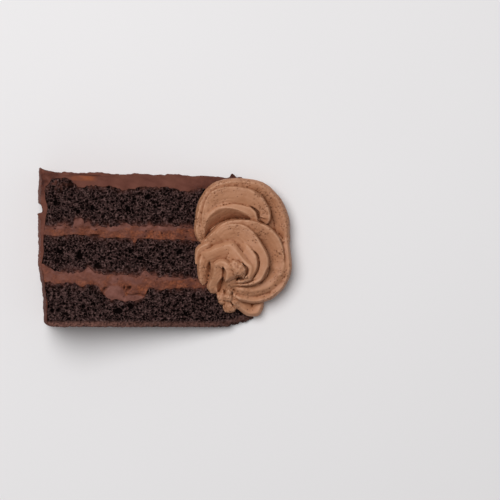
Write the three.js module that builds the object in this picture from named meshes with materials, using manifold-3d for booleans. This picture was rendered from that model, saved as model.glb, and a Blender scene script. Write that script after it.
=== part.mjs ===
// A narrow slice of a round three-layer chocolate cake, lying on one of its cut faces,
// with a big buttercream swirl piped over its thin tip.
//
// Millimetres. X runs along the slice, from the frosted rim at -X to the tip at +X.
// Y runs up the cake as it stood on its plate, from its base to its frosted top.
// Z is up from the table: the lower cut face lies at the bottom and the other cut slopes over it.
import * as THREE from 'three';
import { mergeVertices } from 'three/addons/utils/BufferGeometryUtils.js';
import Module from 'manifold-3d';

const wasm = await Module();
wasm.setup();

// ---- driving dimensions ----

const cakeRadius = 101; // over the side frosting
const cakeHeight = 71.4; // base to frosted top
const sliceAngle = 17; // degrees between the two cuts
const tipThickness = 2; // the sloping cut passes this far above the cake's axis
const tipOverrun = 2.2; // the crumbly tip reaches this far past the axis
const sideFrosting = 2.2;
const gap = 0.3; // between pieces that touch

const topLip = { rise: 2.3, from: 89, to: 100 }; // frosting pushed up at the rim
const rimLean = { inset: 3.4, from: 10, to: 32 }; // the rim draws in towards the base
const baseRounding = 3;
const tornNotch = { height: 54.8, halfWidth: 1.8, depth: 1.5 }; // frosting torn off the rim
const brokenCorner = { height: 5.5, length: 15 }; // crumbs lost from the tip's base
const cutRelief = 0.35; // unevenness of the sloping cut

// The swirl: a back lobe with a hollow in its middle, a front lobe lapping over it, and the peak
// where the nozzle was pulled away. Each is filled up to a low dome, and so is the waist between.
const backLobe = { x: -3.9, y: 47.8, fillRadius: 18.5, fillFrom: 2, fillHeight: 8.5 };
const frontLobe = { x: -3.2, y: 28.1, fillRadius: 18, fillFrom: 4, fillHeight: 13 };
const waist = { x: -13.5, y: 38.5, fillRadius: 12.5, fillFrom: 4, fillHeight: 8.5 };
const peak = { x: -5.4, y: 28.8, fillRadius: 4.8, fillFrom: 8, fillHeight: 14 };

// The ridges left by the star nozzle run clockwise round their lobe. crest: height of a ridge's
// edge at its start and at its end; size: 1 is full; way: angle (degrees) and distance from the
// lobe's middle. In order, from the outermost ridge inwards.
const backRidges = [
  { crest: [14, 8.5], size: 0.95, way: [[212, 21], [150, 21.3], [90, 21.5], [30, 21.3], [-25, 21]] },
  { crest: [16, 13.5], size: 1, way: [[190, 19.8], [137, 19.6], [93, 17.8], [46, 15], [-15, 12.4]] },
  { crest: [15, 17], size: 0.6, way: [[192, 17.6], [164, 15.5], [135, 11.6], [86, 7.2], [50, 5.6]] },
  { crest: [16.5, 15], size: 0.6, way: [[134, 14.6], [95, 11.2], [51, 9.4], [15, 9]] },
];
const frontRidges = [
  // the right side and the middle
  { crest: [8, 8], size: 0.9, way: [[38, 26], [7, 22.6], [-25, 20], [-60, 17.9]] },
  {
    crest: [15, 12], size: 1,
    way: [[154, 22.4], [99, 22.8], [53, 22.4], [0, 19.7], [-45, 17.8], [-98, 13]],
  },
  {
    crest: [17, 16.5], size: 1,
    way: [[135, 21], [90, 19.6], [48, 14.8], [9, 12.4], [-32, 10.6], [-106, 8]],
  },
  { crest: [18, 18.5], size: 0.7, way: [[95, 11.5], [60, 8.8], [20, 7], [-40, 6.2], [-95, 6.5]] },
  {
    crest: [16.5, 20.5], size: 0.8,
    way: [[161, 22.5], [138, 14.4], [117, 11.8], [99, 5.6], [20, 4.2], [-80, 5]],
  },
  // the foot
  { crest: [13, 15], size: 0.6, way: [[-22, 15], [-46, 12.8], [-72, 11.2], [-102, 10]] },
  { crest: [8.5, 12.5], size: 0.6, way: [[-52, 18.6], [-75, 16], [-98, 14]] },
  { crest: [7.5, 10], size: 0.95, way: [[-62, 21], [-82, 19.3], [-106, 17]] },
  // the fingers on the left
  { crest: [13.5, 16], size: 1, way: [[209, 20.4], [186, 21], [160, 21.4]] },
  { crest: [16, 19.5], size: 0.95, way: [[221, 18.2], [203, 15.6], [182, 13.6], [158, 11.2]] },
  { crest: [16.5, 21], size: 0.9, way: [[235, 13.4], [212, 9.8], [178, 7.4]] },
  { crest: [11.5, 13.5], size: 0.75, way: [[250, 19.6], [239, 19.8], [226, 17.6]] },
];

// A ridge's section at full size, as (outward, up) from its crest: a long inner flank and a
// steep, grooved outer wall.
const ridgeSection = [
  [0, 0], [-1.9, -0.6], [-4.6, -1.9], [-5, -6.8], [-1, -8.4],
  [1.9, -7.2], [2, -5.5], [1.3, -4.2], [1.9, -2.6], [1.1, -0.9],
];
const ridgeStep = 2.8; // a section every so far along a ridge

const steps = { along: 38, across: 3, downRim: 34 }; // mesh divisions of the slice
const layerStep = 7; // and of a layer's height

// ---- small helpers ----

const slope = Math.tan(THREE.MathUtils.degToRad(sliceAngle));
const { lerp, smoothstep, degToRad } = THREE.MathUtils;

// A rounded rise (or dip) of the given half-width around a place along the slice.
function bump(s, place, halfWidth, rise) {
  return rise * Math.exp(-(((s - place) / halfWidth) ** 2));
}

// Gentle unevenness between -1 and 1, repeatable and without a pattern that shows.
function uneven(a, b) {
  return 0.6 * Math.sin(0.83 * a + 1.9 * Math.sin(0.31 * b)) + 0.4 * Math.sin(1.37 * b - 0.59 * a);
}

// ---- the slice's outline ----

// s is the distance from the cake's axis, along the slice; h is the height up the cake;
// w runs from 0 at the lower cut face to 1 at the sloping one.

function thickness(s) {
  return tipThickness + slope * Math.max(s, -tipOverrun);
}

function rimRadius(h) {
  const lean = rimLean.inset * (1 - smoothstep(h, rimLean.from, rimLean.to));
  const below = Math.max(0, baseRounding - h);
  const rounding = baseRounding - Math.sqrt(baseRounding ** 2 - below ** 2);
  return cakeRadius - lean - rounding;
}

function rimDistance(h, w, inset) {
  const z = w * thickness(0.95 * cakeRadius);
  const radius = rimRadius(h) - inset;
  const torn = inset > 0 ? 0 : bump(h, tornNotch.height, tornNotch.halfWidth, tornNotch.depth);
  return Math.sqrt(radius ** 2 - z ** 2) - torn;
}

function tipDistance(h, w) {
  const broken = brokenCorner.length * (1 - smoothstep(h, 0, brokenCorner.height));
  return broken - tipOverrun * (0.75 + 0.25 * uneven(2.2 * h, 3 * w));
}

// ---- the surfaces between the layers ----

// Each surface has a nominal height up the cake, and wanders round it along the slice. The
// wander differs a little between the two cut faces.
function drift(s, w, size) {
  return size * (1 - w) * Math.sin(0.09 * s + 2 * w);
}

const cakeBase = { nominal: 0, at: () => 0 };

const lowerFillingUnder = {
  nominal: 19,
  at(s, w) {
    const dollop = -7 * Math.exp(-(((s - 59) / 10.6) ** 6));
    const dips = bump(s, 43, 3.5, -1.6) + bump(s, 78, 2.4, -1.2);
    return 17.4 + 0.031 * s + dollop + dips + drift(s, w, 0.7);
  },
};

const lowerFillingTop = {
  nominal: 24.5,
  at(s, w) {
    const ridges = bump(s, 96, 4, 3.3) + bump(s, 75.1, 1.9, 2.4) + bump(s, 49, 2, 2.1);
    return 21.8 + 0.041 * s + ridges + bump(s, 53.5, 2.4, -0.9) + drift(s, w, 0.7);
  },
};

const upperFillingUnder = {
  nominal: 41.5,
  at: (s, w) => 40.1 + 0.023 * s + bump(s, 81, 4, 1.1) + drift(s, w, -0.6),
};

const upperFillingTop = {
  nominal: 47.2,
  at(s, w) {
    const ridges = bump(s, 79.9, 2.3, 3.7) + bump(s, 75.6, 1.5, 1.2) + bump(s, 57.6, 2.4, 1.1);
    return 47.4 - 0.007 * s + ridges + drift(s, w, -0.6);
  },
};

const frostingUnder = {
  nominal: 65.5,
  at(s, w) {
    const dips = bump(s, 59, 3, -2) + bump(s, 30, 7, -1.3);
    return 65.4 + dips + bump(s, 87, 4.5, 2.3) + drift(s, w, 0.5);
  },
};

function frostingTop(s, w) {
  const lip = topLip.rise * smoothstep(s, topLip.from, topLip.to);
  return cakeHeight + lip + 0.35 * uneven(0.45 * s, 2 * w);
}

// ---- meshes ----

function finish(geometry, name, color, roughness) {
  const closed = mergeVertices(geometry, 1e-4);
  closed.computeVertexNormals();
  const material = new THREE.MeshStandardMaterial({ color, roughness, metalness: 0 });
  const mesh = new THREE.Mesh(closed, material);
  mesh.name = name;
  return mesh;
}

// A closed block of cells. Its corners lie at place(u, v, w), each running from 0 to 1, with u
// along the slice, v up the cake and w across from one cut to the other. Facing sides are split
// into triangles alike, so that a neighbour with the same divisions fits without touching.
function shapedBlock(alongSteps, upSteps, acrossSteps, place) {
  const points = [];
  const numbers = new Map();
  const faces = [];
  const corner = (i, j, k) => {
    const key = [i, j, k].join();
    if (!numbers.has(key)) {
      numbers.set(key, points.length);
      points.push(onSlice(place(i / alongSteps, j / upSteps, k / acrossSteps), k / acrossSteps));
    }
    return numbers.get(key);
  };
  const side = (countA, countB, cornerAt, flipped) => {
    for (let a = 0; a < countA; a++) {
      for (let b = 0; b < countB; b++) {
        const [near, next] = [cornerAt(a, b), cornerAt(a + 1, b)];
        const [far, last] = [cornerAt(a + 1, b + 1), cornerAt(a, b + 1)];
        const pair = [near, next, far, near, far, last];
        faces.push(...(flipped ? pair.reverse() : pair));
      }
    }
  };
  side(upSteps, acrossSteps, (j, k) => corner(0, j, k), false);
  side(upSteps, acrossSteps, (j, k) => corner(alongSteps, j, k), true);
  side(alongSteps, acrossSteps, (i, k) => corner(i, 0, k), true);
  side(alongSteps, acrossSteps, (i, k) => corner(i, upSteps, k), false);
  side(alongSteps, upSteps, (i, j) => corner(i, j, 0), false);
  side(alongSteps, upSteps, (i, j) => corner(i, j, acrossSteps), true);
  return new THREE.BufferGeometry().setFromPoints(points).setIndex(faces);
}

function onSlice({ s, h }, w) {
  const relief = cutRelief * w * uneven(s, 1.3 * h) * smoothstep(s, 0, 12);
  return new THREE.Vector3(-s, h, w * thickness(s) + relief);
}

// One layer of the slice between two surfaces, inside the side frosting. Layers that touch take
// their places along the slice from the same nominal height, so the gap between them is even.
function layer(name, under, over, color, roughness) {
  const inset = sideFrosting + gap / 2;
  const lift = under === cakeBase ? 0 : gap / 2;
  const place = (u, v, w) => {
    const nominal = lerp(under.nominal, over.nominal, v);
    const s = lerp(tipDistance(nominal, w), rimDistance(nominal, w, inset), u);
    return { s, h: lerp(under.at(s, w) + lift, over.at(s, w) - gap / 2, v) };
  };
  const upSteps = Math.max(1, Math.round((over.nominal - under.nominal) / layerStep));
  return finish(shapedBlock(steps.along, upSteps, steps.across, place), name, color, roughness);
}

// The frosting: a coat over the top that turns down over the rim in one piece.
function frostingCoat() {
  const alongSteps = steps.along + steps.downRim;
  const corner = steps.along / alongSteps;
  const inside = sideFrosting - gap / 2;
  const place = (u, v, w) => {
    const innerRim = rimDistance(frostingUnder.nominal, w, inside);
    const outerRim = rimDistance(cakeHeight, w, 0);
    const tip = tipDistance(frostingUnder.nominal, w);
    const share = u <= corner ? u / corner : (u - corner) / (1 - corner);
    let inner = { s: lerp(tip, innerRim, share) };
    let outer = { s: lerp(tip, outerRim, share) };
    inner.h = frostingUnder.at(inner.s, w) + gap / 2;
    outer.h = frostingTop(outer.s, w);
    if (u > corner) {
      inner = { h: lerp(frostingUnder.at(innerRim, w) + gap / 2, 0, share) };
      outer = { h: lerp(frostingTop(outerRim, w), 0, share) };
      inner.s = rimDistance(inner.h, w, inside);
      outer.s = rimDistance(outer.h, w, 0);
    }
    return { s: lerp(inner.s, outer.s, v), h: lerp(inner.h, outer.h, v) };
  };
  return finish(shapedBlock(alongSteps, 1, steps.across, place), 'frosting', '#74463a', 0.55);
}

// ---- the buttercream swirl ----

// Joins equal rings of points, one after another, into a closed skin with a fan at each end.
function skin(rings) {
  const size = rings[0].length;
  const points = rings.flat();
  const faces = [];
  for (let i = 0; i < rings.length - 1; i++) {
    for (let j = 0; j < size; j++) {
      const a = i * size + j;
      const b = i * size + ((j + 1) % size);
      faces.push(a, b, a + size, b, b + size, a + size);
    }
  }
  for (const [ring, first] of [[rings[0], 0], [rings.at(-1), points.length - size]]) {
    const middle = points.length;
    points.push(ring.reduce((sum, p) => sum.add(p), new THREE.Vector3()).divideScalar(size));
    for (let j = 0; j < size; j++) {
      const edge = [first + j, first + ((j + 1) % size)];
      faces.push(...(first ? edge : edge.reverse()), middle);
    }
  }
  return new THREE.BufferGeometry().setFromPoints(points).setIndex(faces);
}

// One ridge of buttercream, tapering at both ends.
function pipedRidge(lobe, { crest, size, way }) {
  const crestPoints = way.map(([degrees, distance], i) => {
    const angle = degToRad(degrees);
    const height = lerp(crest[0], crest[1], i / (way.length - 1));
    const [across, up] = [distance * Math.cos(angle), distance * Math.sin(angle)];
    return new THREE.Vector3(lobe.x + across, lobe.y + up, height);
  });
  const curve = new THREE.CatmullRomCurve3(crestPoints);
  const count = Math.ceil(curve.getLength() / ridgeStep) + 2;
  const rings = [];
  for (let i = 0; i <= count; i++) {
    const t = i / count;
    const taper = Math.sqrt(Math.min(1, 0.05 + 4.5 * t, 0.05 + 4.5 * (1 - t)));
    const centre = curve.getPointAt(t);
    const tangent = curve.getTangentAt(t);
    const outward = new THREE.Vector3(-tangent.y, tangent.x, 0).normalize();
    const ring = ridgeSection.map(([out, up]) => {
      const point = centre.clone().addScaledVector(outward, out * size * taper);
      point.z += size * (taper * up - 2 * (1 - taper));
      return point;
    });
    rings.push(ring);
  }
  return skin(rings);
}

// The buttercream that fills a lobe's middle, or heaps up to the peak.
function filling({ x, y, fillRadius, fillFrom, fillHeight }) {
  const ball = new THREE.SphereGeometry(1, 20, 10).rotateX(Math.PI / 2);
  return ball.scale(fillRadius, fillRadius, fillHeight).translate(x, y, fillFrom);
}

// What the slice takes up below the sloping cut, with room to spare for the cut's unevenness.
function spaceOfSlice() {
  const clearance = cutRelief + gap;
  const front = tipOverrun + clearance;
  const outline = new THREE.Shape([
    new THREE.Vector2(front, -1),
    new THREE.Vector2(front, tipThickness + clearance - slope * tipOverrun),
    new THREE.Vector2(0, tipThickness + clearance),
    new THREE.Vector2(-cakeRadius, tipThickness + clearance + slope * cakeRadius),
    new THREE.Vector2(-cakeRadius, -1),
  ]);
  const prism = new THREE.ExtrudeGeometry(outline, { depth: cakeHeight + 10, bevelEnabled: false });
  prism.rotateX(Math.PI / 2);
  prism.translate(0, cakeHeight + 5, 0);
  return prism;
}

function aboveTable() {
  const size = 4 * cakeRadius;
  return new THREE.BoxGeometry(size, size, size).translate(0, 0, size / 2);
}

function toSolid(geometry) {
  const bare = geometry.clone();
  bare.deleteAttribute('normal');
  bare.deleteAttribute('uv');
  const merged = mergeVertices(bare, 1e-4);
  const vertProperties = new Float32Array(merged.getAttribute('position').array);
  const triVerts = new Uint32Array(merged.index.array);
  return new wasm.Manifold(new wasm.Mesh({ numProp: 3, vertProperties, triVerts }));
}

function toGeometry(solid) {
  const { vertProperties, triVerts } = solid.getMesh();
  const geometry = new THREE.BufferGeometry();
  geometry.setAttribute('position', new THREE.BufferAttribute(vertProperties, 3));
  geometry.setIndex(new THREE.BufferAttribute(triVerts, 1));
  return geometry;
}

function buttercreamSwirl() {
  const pieces = [
    ...[backLobe, frontLobe, waist, peak].map(filling),
    ...backRidges.map((ridge) => pipedRidge(backLobe, ridge)),
    ...frontRidges.map((ridge) => pipedRidge(frontLobe, ridge)),
  ];
  const heap = pieces.map(toSolid).reduce((whole, piece) => whole.add(piece));
  const swirl = heap.subtract(toSolid(spaceOfSlice())).intersect(toSolid(aboveTable()));
  // The largest shell is the swirl's skin. Any other is a pocket sealed between ridges, left out.
  const shells = swirl.decompose().sort((a, b) => b.volume() - a.volume());
  return finish(toGeometry(shells[0]), 'buttercream_swirl', '#a9785c', 0.6);
}

// ---- the part ----

const crumb = '#33211e';
const creamFilling = '#70463b';

const slice = new THREE.Group();
slice.add(
  layer('cake_bottom', cakeBase, lowerFillingUnder, crumb, 0.95),
  layer('filling_lower', lowerFillingUnder, lowerFillingTop, creamFilling, 0.6),
  layer('cake_middle', lowerFillingTop, upperFillingUnder, crumb, 0.95),
  layer('filling_upper', upperFillingUnder, upperFillingTop, creamFilling, 0.6),
  layer('cake_top', upperFillingTop, frostingUnder, crumb, 0.95),
  frostingCoat(),
  buttercreamSwirl(),
);

// The origin is under the middle of the whole slice, on the table.
const bounds = new THREE.Box3().setFromObject(slice, true);
const middle = bounds.getCenter(new THREE.Vector3());
slice.position.set(-middle.x, -middle.y, -bounds.min.z);

export default slice;
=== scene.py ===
import math
from typing import NamedTuple

import bpy
import numpy as np
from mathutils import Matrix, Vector, kdtree


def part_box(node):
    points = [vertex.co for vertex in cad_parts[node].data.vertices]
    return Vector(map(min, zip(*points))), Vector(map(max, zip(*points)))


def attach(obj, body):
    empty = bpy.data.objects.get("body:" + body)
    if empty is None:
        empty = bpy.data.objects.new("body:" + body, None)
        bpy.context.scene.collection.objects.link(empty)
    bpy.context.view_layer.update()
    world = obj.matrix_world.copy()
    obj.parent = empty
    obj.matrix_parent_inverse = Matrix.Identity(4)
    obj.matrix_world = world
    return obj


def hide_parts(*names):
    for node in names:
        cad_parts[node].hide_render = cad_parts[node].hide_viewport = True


bl_info = {
    "name": "Slice of chocolate cake",
    "version": (1, 0, 0),
    "blender": (4, 5, 0),
    "location": "3D View > Sidebar > Cake",
    "description": "Builds a slice of layered chocolate cake with a piped buttercream swirl",
    "category": "Add Mesh",
}

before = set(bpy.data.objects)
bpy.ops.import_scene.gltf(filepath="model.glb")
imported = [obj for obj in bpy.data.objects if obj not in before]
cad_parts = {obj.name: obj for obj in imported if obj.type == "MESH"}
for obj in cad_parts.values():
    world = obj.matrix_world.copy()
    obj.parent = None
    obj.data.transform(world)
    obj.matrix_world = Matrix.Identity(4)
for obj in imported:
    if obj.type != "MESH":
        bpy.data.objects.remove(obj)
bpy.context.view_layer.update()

MM = 0.001  # lengths below are in millimetres, the scene is in metres

# ---- the slice's form ----

CAKE_RADIUS = 101.0  # over the side frosting
CAKE_HEIGHT = 71.4  # base to frosted top
SLICE_ANGLE = 17.0  # degrees between the two cuts
TIP_THICKNESS = 2.0  # the sloping cut passes this far above the cake's axis
TIP_OVERRUN = 2.2  # the crumbly tip reaches this far past the axis
SIDE_FROSTING = 2.2
RIM_CURVE = 26.0  # how far the rim's circle curves in from the base to the sloping cut
JOINT = 0.04  # between pieces that touch

LIP_RISE, LIP_FROM, LIP_TO = 2.3, 89.0, 100.0  # frosting pushed up at the rim
TIP_DIP, TIP_DIP_FROM, TIP_DIP_TO = 0.45, 8.0, 35.0  # the frosted top sinks towards the tip
RIM_INSET, RIM_INSET_FROM, RIM_INSET_TO = 3.4, 10.0, 32.0  # the rim draws in near the base
BASE_ROUNDING = 3.0
NOTCH_HEIGHT, NOTCH_HALF_WIDTH, NOTCH_DEPTH = 54.8, 1.8, 2.4  # frosting torn off the rim
NOTCH_REACH = 4.0  # the crumb is torn this far up and down from the notch
BROKEN_HEIGHT, BROKEN_LENGTH = 3.9, 14.0  # crumbs lost from the tip's base
CUT_RELIEF = 0.35  # unevenness of the sloping cut
CRUMB_AT, CRUMB_HALF_WIDTH, CRUMB_RISE = 8.9, 0.9, 1.7  # a crumb stuck to the top's frosting
BLOB_AT, BLOB_RADIUS, BLOB_RISE = 79.6, 2.5, 3.9  # a round blob of the upper filling

# Specks of frosting pushed out over the rim at the sloping cut: height, half width and reach.
RIM_SPECKS = [(51.9, 0.6, 1.6), (28.8, 1.2, 0.9), (71.5, 2.2, 0.6)]

# How far the rim is rubbed off, and how thick its frosting is at the sloping cut. Each has its
# value at the base and how it grows up the cake, as (from, to, growth).
RUBBED_OFF = (0.4, [(12, 24, 0.5)])
COAT_AT_CUT = (0.45, [(12, 24, 0.5), (27, 33, 1.0), (42, 52, 0.7)])

SLOPE = math.tan(math.radians(SLICE_ANGLE))
AXIS_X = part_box("frosting")[0].x / MM + CAKE_RADIUS  # where the cake's axis stands
BASE_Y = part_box("cake_bottom")[0].y / MM

# ---- the swirl's form ----

# Each lobe is filled up to a low dome that follows the slope it lies on: middle, radius, start and
# height.
DOMES = [
    (-3.9, 47.8, 18.5, 1.0, 9.5),
    (-3.2, 28.1, 18.0, 2.0, 8.0),
    (-14.5, 38.0, 9.0, 0.0, 5.0),
]

# Ridges left by the star nozzle. Each has its size, how far its wall leans out (1 is a bulging
# outer wall, 0.3 a steep one), how broad its other flank is and the way of its crest as
# (x, y, height), with the points that its bends need. The wall stands to the left of the way.
RIDGES = [
    # the back lobe, from the outside inwards
    (0.95, 1.0, 1.0, [
        (-22.7, 39.5, 11.6), (-24.9, 44.5, 12.6), (-24.6, 52.3, 13), (-22, 60.3, 13.7),
        (-16.5, 66.3, 14.1), (-8, 68.3, 14), (3, 67.5, 13.2), (12, 61.3, 11.4),
        (16.2, 52.5, 10.3), (17, 44, 9.6), (17.7, 37.5, 9),
    ]),
    (1.0, 0.5, 2.0, [
        (-22.4, 46, 12.8), (-22.5, 52, 13.7), (-20, 61, 15), (-14.5, 65, 15.5),
        (-5, 65.7, 15.6), (3, 63, 15.3), (7.5, 57.3, 14.5), (9, 52, 13.8), (8, 49, 13),
    ]),
    # the lip over the back lobe's hollow, above and below
    (0.55, 0.5, 2.5, [
        (-17, 55, 13.6), (-11.5, 57.8, 14.8), (-2, 57.3, 15), (2.6, 54, 14.5), (3.3, 50, 13.6),
    ]),
    (0.8, 1.0, 0.9, [
        (1.7, 50.5, 13.8), (-3, 54.3, 15.1), (-11.5, 56, 15.4), (-18.6, 53, 14.6),
        (-21.4, 48, 13.2), (-21.8, 43, 12.4),
    ]),
    # the front lobe, from the outside inwards
    (0.9, 0.8, 1.5, [
        (17, 45, 9.2), (17.7, 37, 11.1), (18.5, 29, 11.4), (17.3, 23.5, 10.6),
        (14.3, 18.5, 10.2), (9.5, 14.4, 10.1),
    ]),
    (0.9, 0.8, 0.8, [
        (14.3, 18.5, 10), (9.5, 14.4, 10.1), (3, 12.6, 10.5), (-4.4, 13.8, 12),
        (-7.3, 15.2, 12.6),
    ]),
    (1.0, 0.5, 1.3, [
        (-22.4, 40, 12.6), (-17, 45, 14.4), (-10.5, 49.7, 15.4), (0.3, 50, 15.5),
        (9.3, 46.6, 14.6), (14.2, 40, 13), (16, 31.2, 12), (13, 24, 11.5),
    ]),
    (1.0, 1.9, 1.0, [
        (16, 34, 12), (15.3, 27.5, 11.8), (9.6, 20.7, 11.4), (1.2, 17.8, 12.2),
        (-6.8, 18.7, 13.6),
    ]),
    (1.0, 0.5, 1.9, [
        (-18.4, 42, 14.2), (-13, 47.2, 15.7), (-5.3, 48.5, 16.4), (0.8, 45, 16.8),
        (5.6, 38.4, 17.1), (8.4, 31, 16.7), (6.6, 24, 16), (-1.2, 20.2, 15.3),
        (-5.4, 20.1, 15.1),
    ]),
    (0.7, 0.9, 1.8, [
        (-4.3, 39.6, 15.7), (-1, 38.3, 17.2), (2.7, 33.8, 18.2), (3, 28, 18.1),
        (-1.5, 22.5, 17.1), (-5.4, 21.3, 16.3),
    ]),
    (0.7, 1.6, 1.5, [
        (-23, 34.8, 13.2), (-19.2, 35.4, 15), (-14, 37.5, 16.7), (-9, 38.5, 17.9),
        (-5.6, 35, 18.4), (-2.2, 31.2, 18.8), (0.6, 28.3, 18.8), (-0.9, 23.6, 18),
        (-3.6, 22, 17.2),
    ]),
    # the three fingers on its left
    (0.9, 1.0, 0.9, [
        (-24.6, 27, 9.6), (-25.4, 30.2, 10.8), (-24.3, 36.3, 12.6), (-20.3, 39.4, 13.1),
        (-17.4, 40.4, 12.8),
    ]),
    (0.95, 0.9, 1.1, [
        (-21.9, 19, 10), (-23.3, 24, 12), (-23.4, 30, 13.5), (-22.3, 34.2, 14),
    ]),
    (0.95, 1.0, 2.0, [
        (-18, 15.5, 9.6), (-18.6, 20, 12), (-16.8, 25, 15.2), (-15.6, 29.6, 17.8),
        (-11.6, 30.3, 19.8), (-7.3, 26, 20.1), (-6, 24.4, 19.5),
    ]),
    # the neck from the peak down, and the foot
    (1.2, 1.0, 1.5, [(-10, 16.7, 13), (-9.9, 21.5, 15.4), (-9, 27, 18.6)]),
    (0.7, 1.0, 1.0, [(-13.6, 11.7, 9.6), (-13.9, 14.3, 10.8), (-12.7, 16.7, 11.8)]),
    (0.85, 1.0, 1.0, [
        (-9.2, 7, 7.6), (-10.7, 10, 9.3), (-10.4, 13.6, 11.5), (-9.6, 17.2, 13.2),
    ]),
    (0.9, 1.0, 1.0, [
        (6, 13.3, 6.6), (4.1, 7.5, 7), (2, 6.5, 7.1), (-1, 7.1, 7.6), (-6.3, 11.5, 10),
        (-7, 14.2, 11.6),
    ]),
]

# A ridge's section at full size, as (outward, up) from its crest.
RIDGE_SECTION = [
    (0, 0), (-0.6, -0.1), (-1.8, -0.5), (-3.2, -1.4), (-4.6, -2.7), (-6, -4.2), (-7.4, -5.6),
    (-7.4, -7.5), (-1, -8.4), (1.9, -7.2), (2, -5.5), (1.4, -4.2), (1.8, -2.7), (1.1, -1.2),
    (0.35, -0.2),
]

# Gaps and hollows that stay open between ridges. Each has the height of its bottom, the height
# over which it opens, how much faster it widens near the top, the share of its width that lies to
# the left of its way, and the way as (x, y, width).
CREASES = [
    # between the innermost turns, at the end of the back lobe and beside the peak
    (12, 6, 1.8, 0.25, [(1, 37.3, 0.4), (4, 33.8, 1.4), (4.5, 28, 1.6), (1, 22.5, 1.1)]),
    (7.5, 6.5, 1.8, 0.4, [(-0.3, 57.3, 0.4), (3.3, 54.8, 1.6), (4.5, 51, 2), (7.6, 48.6, 0.8)]),
    (12.5, 8, 1.8, 0.3, [(-3.7, 31, 0.8), (-0.7, 27.5, 2), (-2.4, 23.6, 0.9)]),
    # the hole under the peak
    (10.5, 8, 1.5, 0.5, [(-6, 22, 1.6), (-5, 23.3, 3.3), (-2.6, 23, 0.8)]),
    # between the fingers
    (12.3, 4.5, 1.1, 0.55, [(-12.9, 28.8, 0.6), (-12.5, 25.5, 2.6), (-13.4, 20.5, 3)]),
    (7, 5, 1.1, 0.55, [(-12.7, 23.7, 1), (-13.9, 18.5, 4.8), (-15, 16.5, 4.6)]),
    (8.3, 5, 1.2, 0.3, [(-18.9, 31.2, 0.6), (-18.9, 26.5, 3.6), (-20, 21.3, 4), (-21.2, 19, 3)]),
    # under the turns of the front lobe
    (9.5, 6, 1.8, 0.5, [(9.7, 29.7, 1), (6.4, 22.3, 2.3), (2.5, 19.8, 2.3), (-6.8, 19.3, 1.5)]),
    (12.5, 5, 1.8, 0.5, [(3, 23.3, 1), (-2, 21.2, 2), (-8.2, 20.6, 1)]),
    # the hollow of the back lobe, its lowest corner and the groove along its lip
    (6.6, 8.4, 1.4, 0.85, [
        (-21.4, 42.5, 2.4), (-17.2, 47.6, 8), (-8.7, 51.3, 5.5), (0.3, 50.7, 1.3),
    ]),
    (5.5, 7.5, 1.2, 0.7, [(-21.4, 42.8, 0.9), (-19, 45.2, 3.5), (-15.7, 48, 1.8)]),
    (13.2, 1.6, 1.2, 0.5, [(-14.3, 57.2, 0.3), (-7, 58.5, 0.9), (0.9, 56.6, 0.8)]),
    # an air hole and a notch
    (12.6, 1.8, 1, 0.5, [(-12.9, 59, 0.9), (-12.6, 57.6, 0.9)]),
    (7, 7, 1.8, 0.5, [(-28, 51, 2), (-24.2, 50.7, 1.2)]),
    # cracks of the foot
    (9, 4, 1.4, 0.5, [(-8.1, 17.2, 0.8), (-7.9, 15.8, 2.2), (-7.6, 14.2, 1.2)]),
    (6.5, 4, 1.8, 0.5, [(-8.7, 12, 0.8), (-6.3, 8.7, 1.6)]),
    (8.2, 4, 1.2, 0.5, [(-13.4, 18, 2), (-12.2, 17.2, 2.2), (-11.6, 15.3, 0.9)]),
    # between the lobes
    (7, 4.5, 1.0, 0.8, [(9.6, 50, 1.2), (12.5, 46, 5), (15.4, 42, 2.4)]),
]

# Rough lumps of the peak and of the broken foot: middle, radius and height of the top.
LUMPS = [
    (-4.7, 27.5, 3.6, 22), (-7, 29.2, 2.9, 21.5), (-3.4, 25.6, 2.5, 20.8),
    (-10, 14.8, 3, 12.8), (-9, 10, 3.4, 10), (-13.5, 14.4, 2, 11.2),
    (-13, 12.5, 1.8, 10.2), (-7.2, 12.5, 2.6, 11.2), (-9.6, 17.2, 2.3, 13.6),
]

# Where the buttercream is coarse and full of air pits: middle and radius.
COARSE_SPOTS = [
    # the back lobe
    (-14, 66.5, 5.5), (-20.5, 61.5, 5.5), (-4, 68, 5), (6, 64, 5), (12.5, 59, 5.5),
    (16.5, 50, 5), (-24, 49.5, 5.5), (-23, 43, 4.5), (6, 56, 3.5),
    # the front lobe and the fingers
    (17, 43.5, 4), (16, 24.5, 5.5), (-7, 47.5, 4.5), (3, 45.5, 5), (14, 34, 4), (9, 15, 4),
    (-1.5, 17, 4.5), (-21.5, 26, 5),
    # the peak and the foot
    (-6.5, 26.5, 4), (-10.5, 16, 4), (-9.5, 10, 4.5), (-6.5, 13, 3.5),
]

# Big holes in the crumb on the sloping cut: how far from the cake's middle, height and radius.
BIG_PORES = [
    # the top layer
    (90.5, 57, 1), (83.5, 66, 1.8), (80, 53, 1.1), (73.5, 55.5, 0.9), (57, 55, 1.3),
    (48.5, 61, 1.5), (37.5, 50, 1.6),
    # the middle layer
    (88, 34.5, 1.1), (79, 33.5, 1.8), (71, 28.5, 1.7), (56, 35, 1.1), (51, 32, 1.1),
    (41, 34, 1), (33, 35, 1.5),
    # the bottom layer
    (91, 7.5, 1), (77, 9.5, 1), (72, 10.5, 1.2), (61, 7.5, 1.4), (55.5, 9.5, 1.2),
    (30, 6.5, 1.2), (26.5, 14.5, 0.9), (22.5, 13.5, 1),
]

# ---- helpers ----

CELLS = 64  # noise and pits repeat after this many of their cells


def smoothstep(x, low, high):
    """0 below low, 1 above high and smooth between."""
    t = np.clip((x - low) / (high - low), 0, 1)
    return t * t * (3 - 2 * t)


def lerp(a, b, t):
    """The value a share t of the way from a to b."""
    return a + (b - a) * t


def pair(a, b):
    """Two coordinates, numbers or arrays, as an array of 2-D points."""
    return np.stack(np.broadcast_arrays(a, b), -1)


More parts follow.
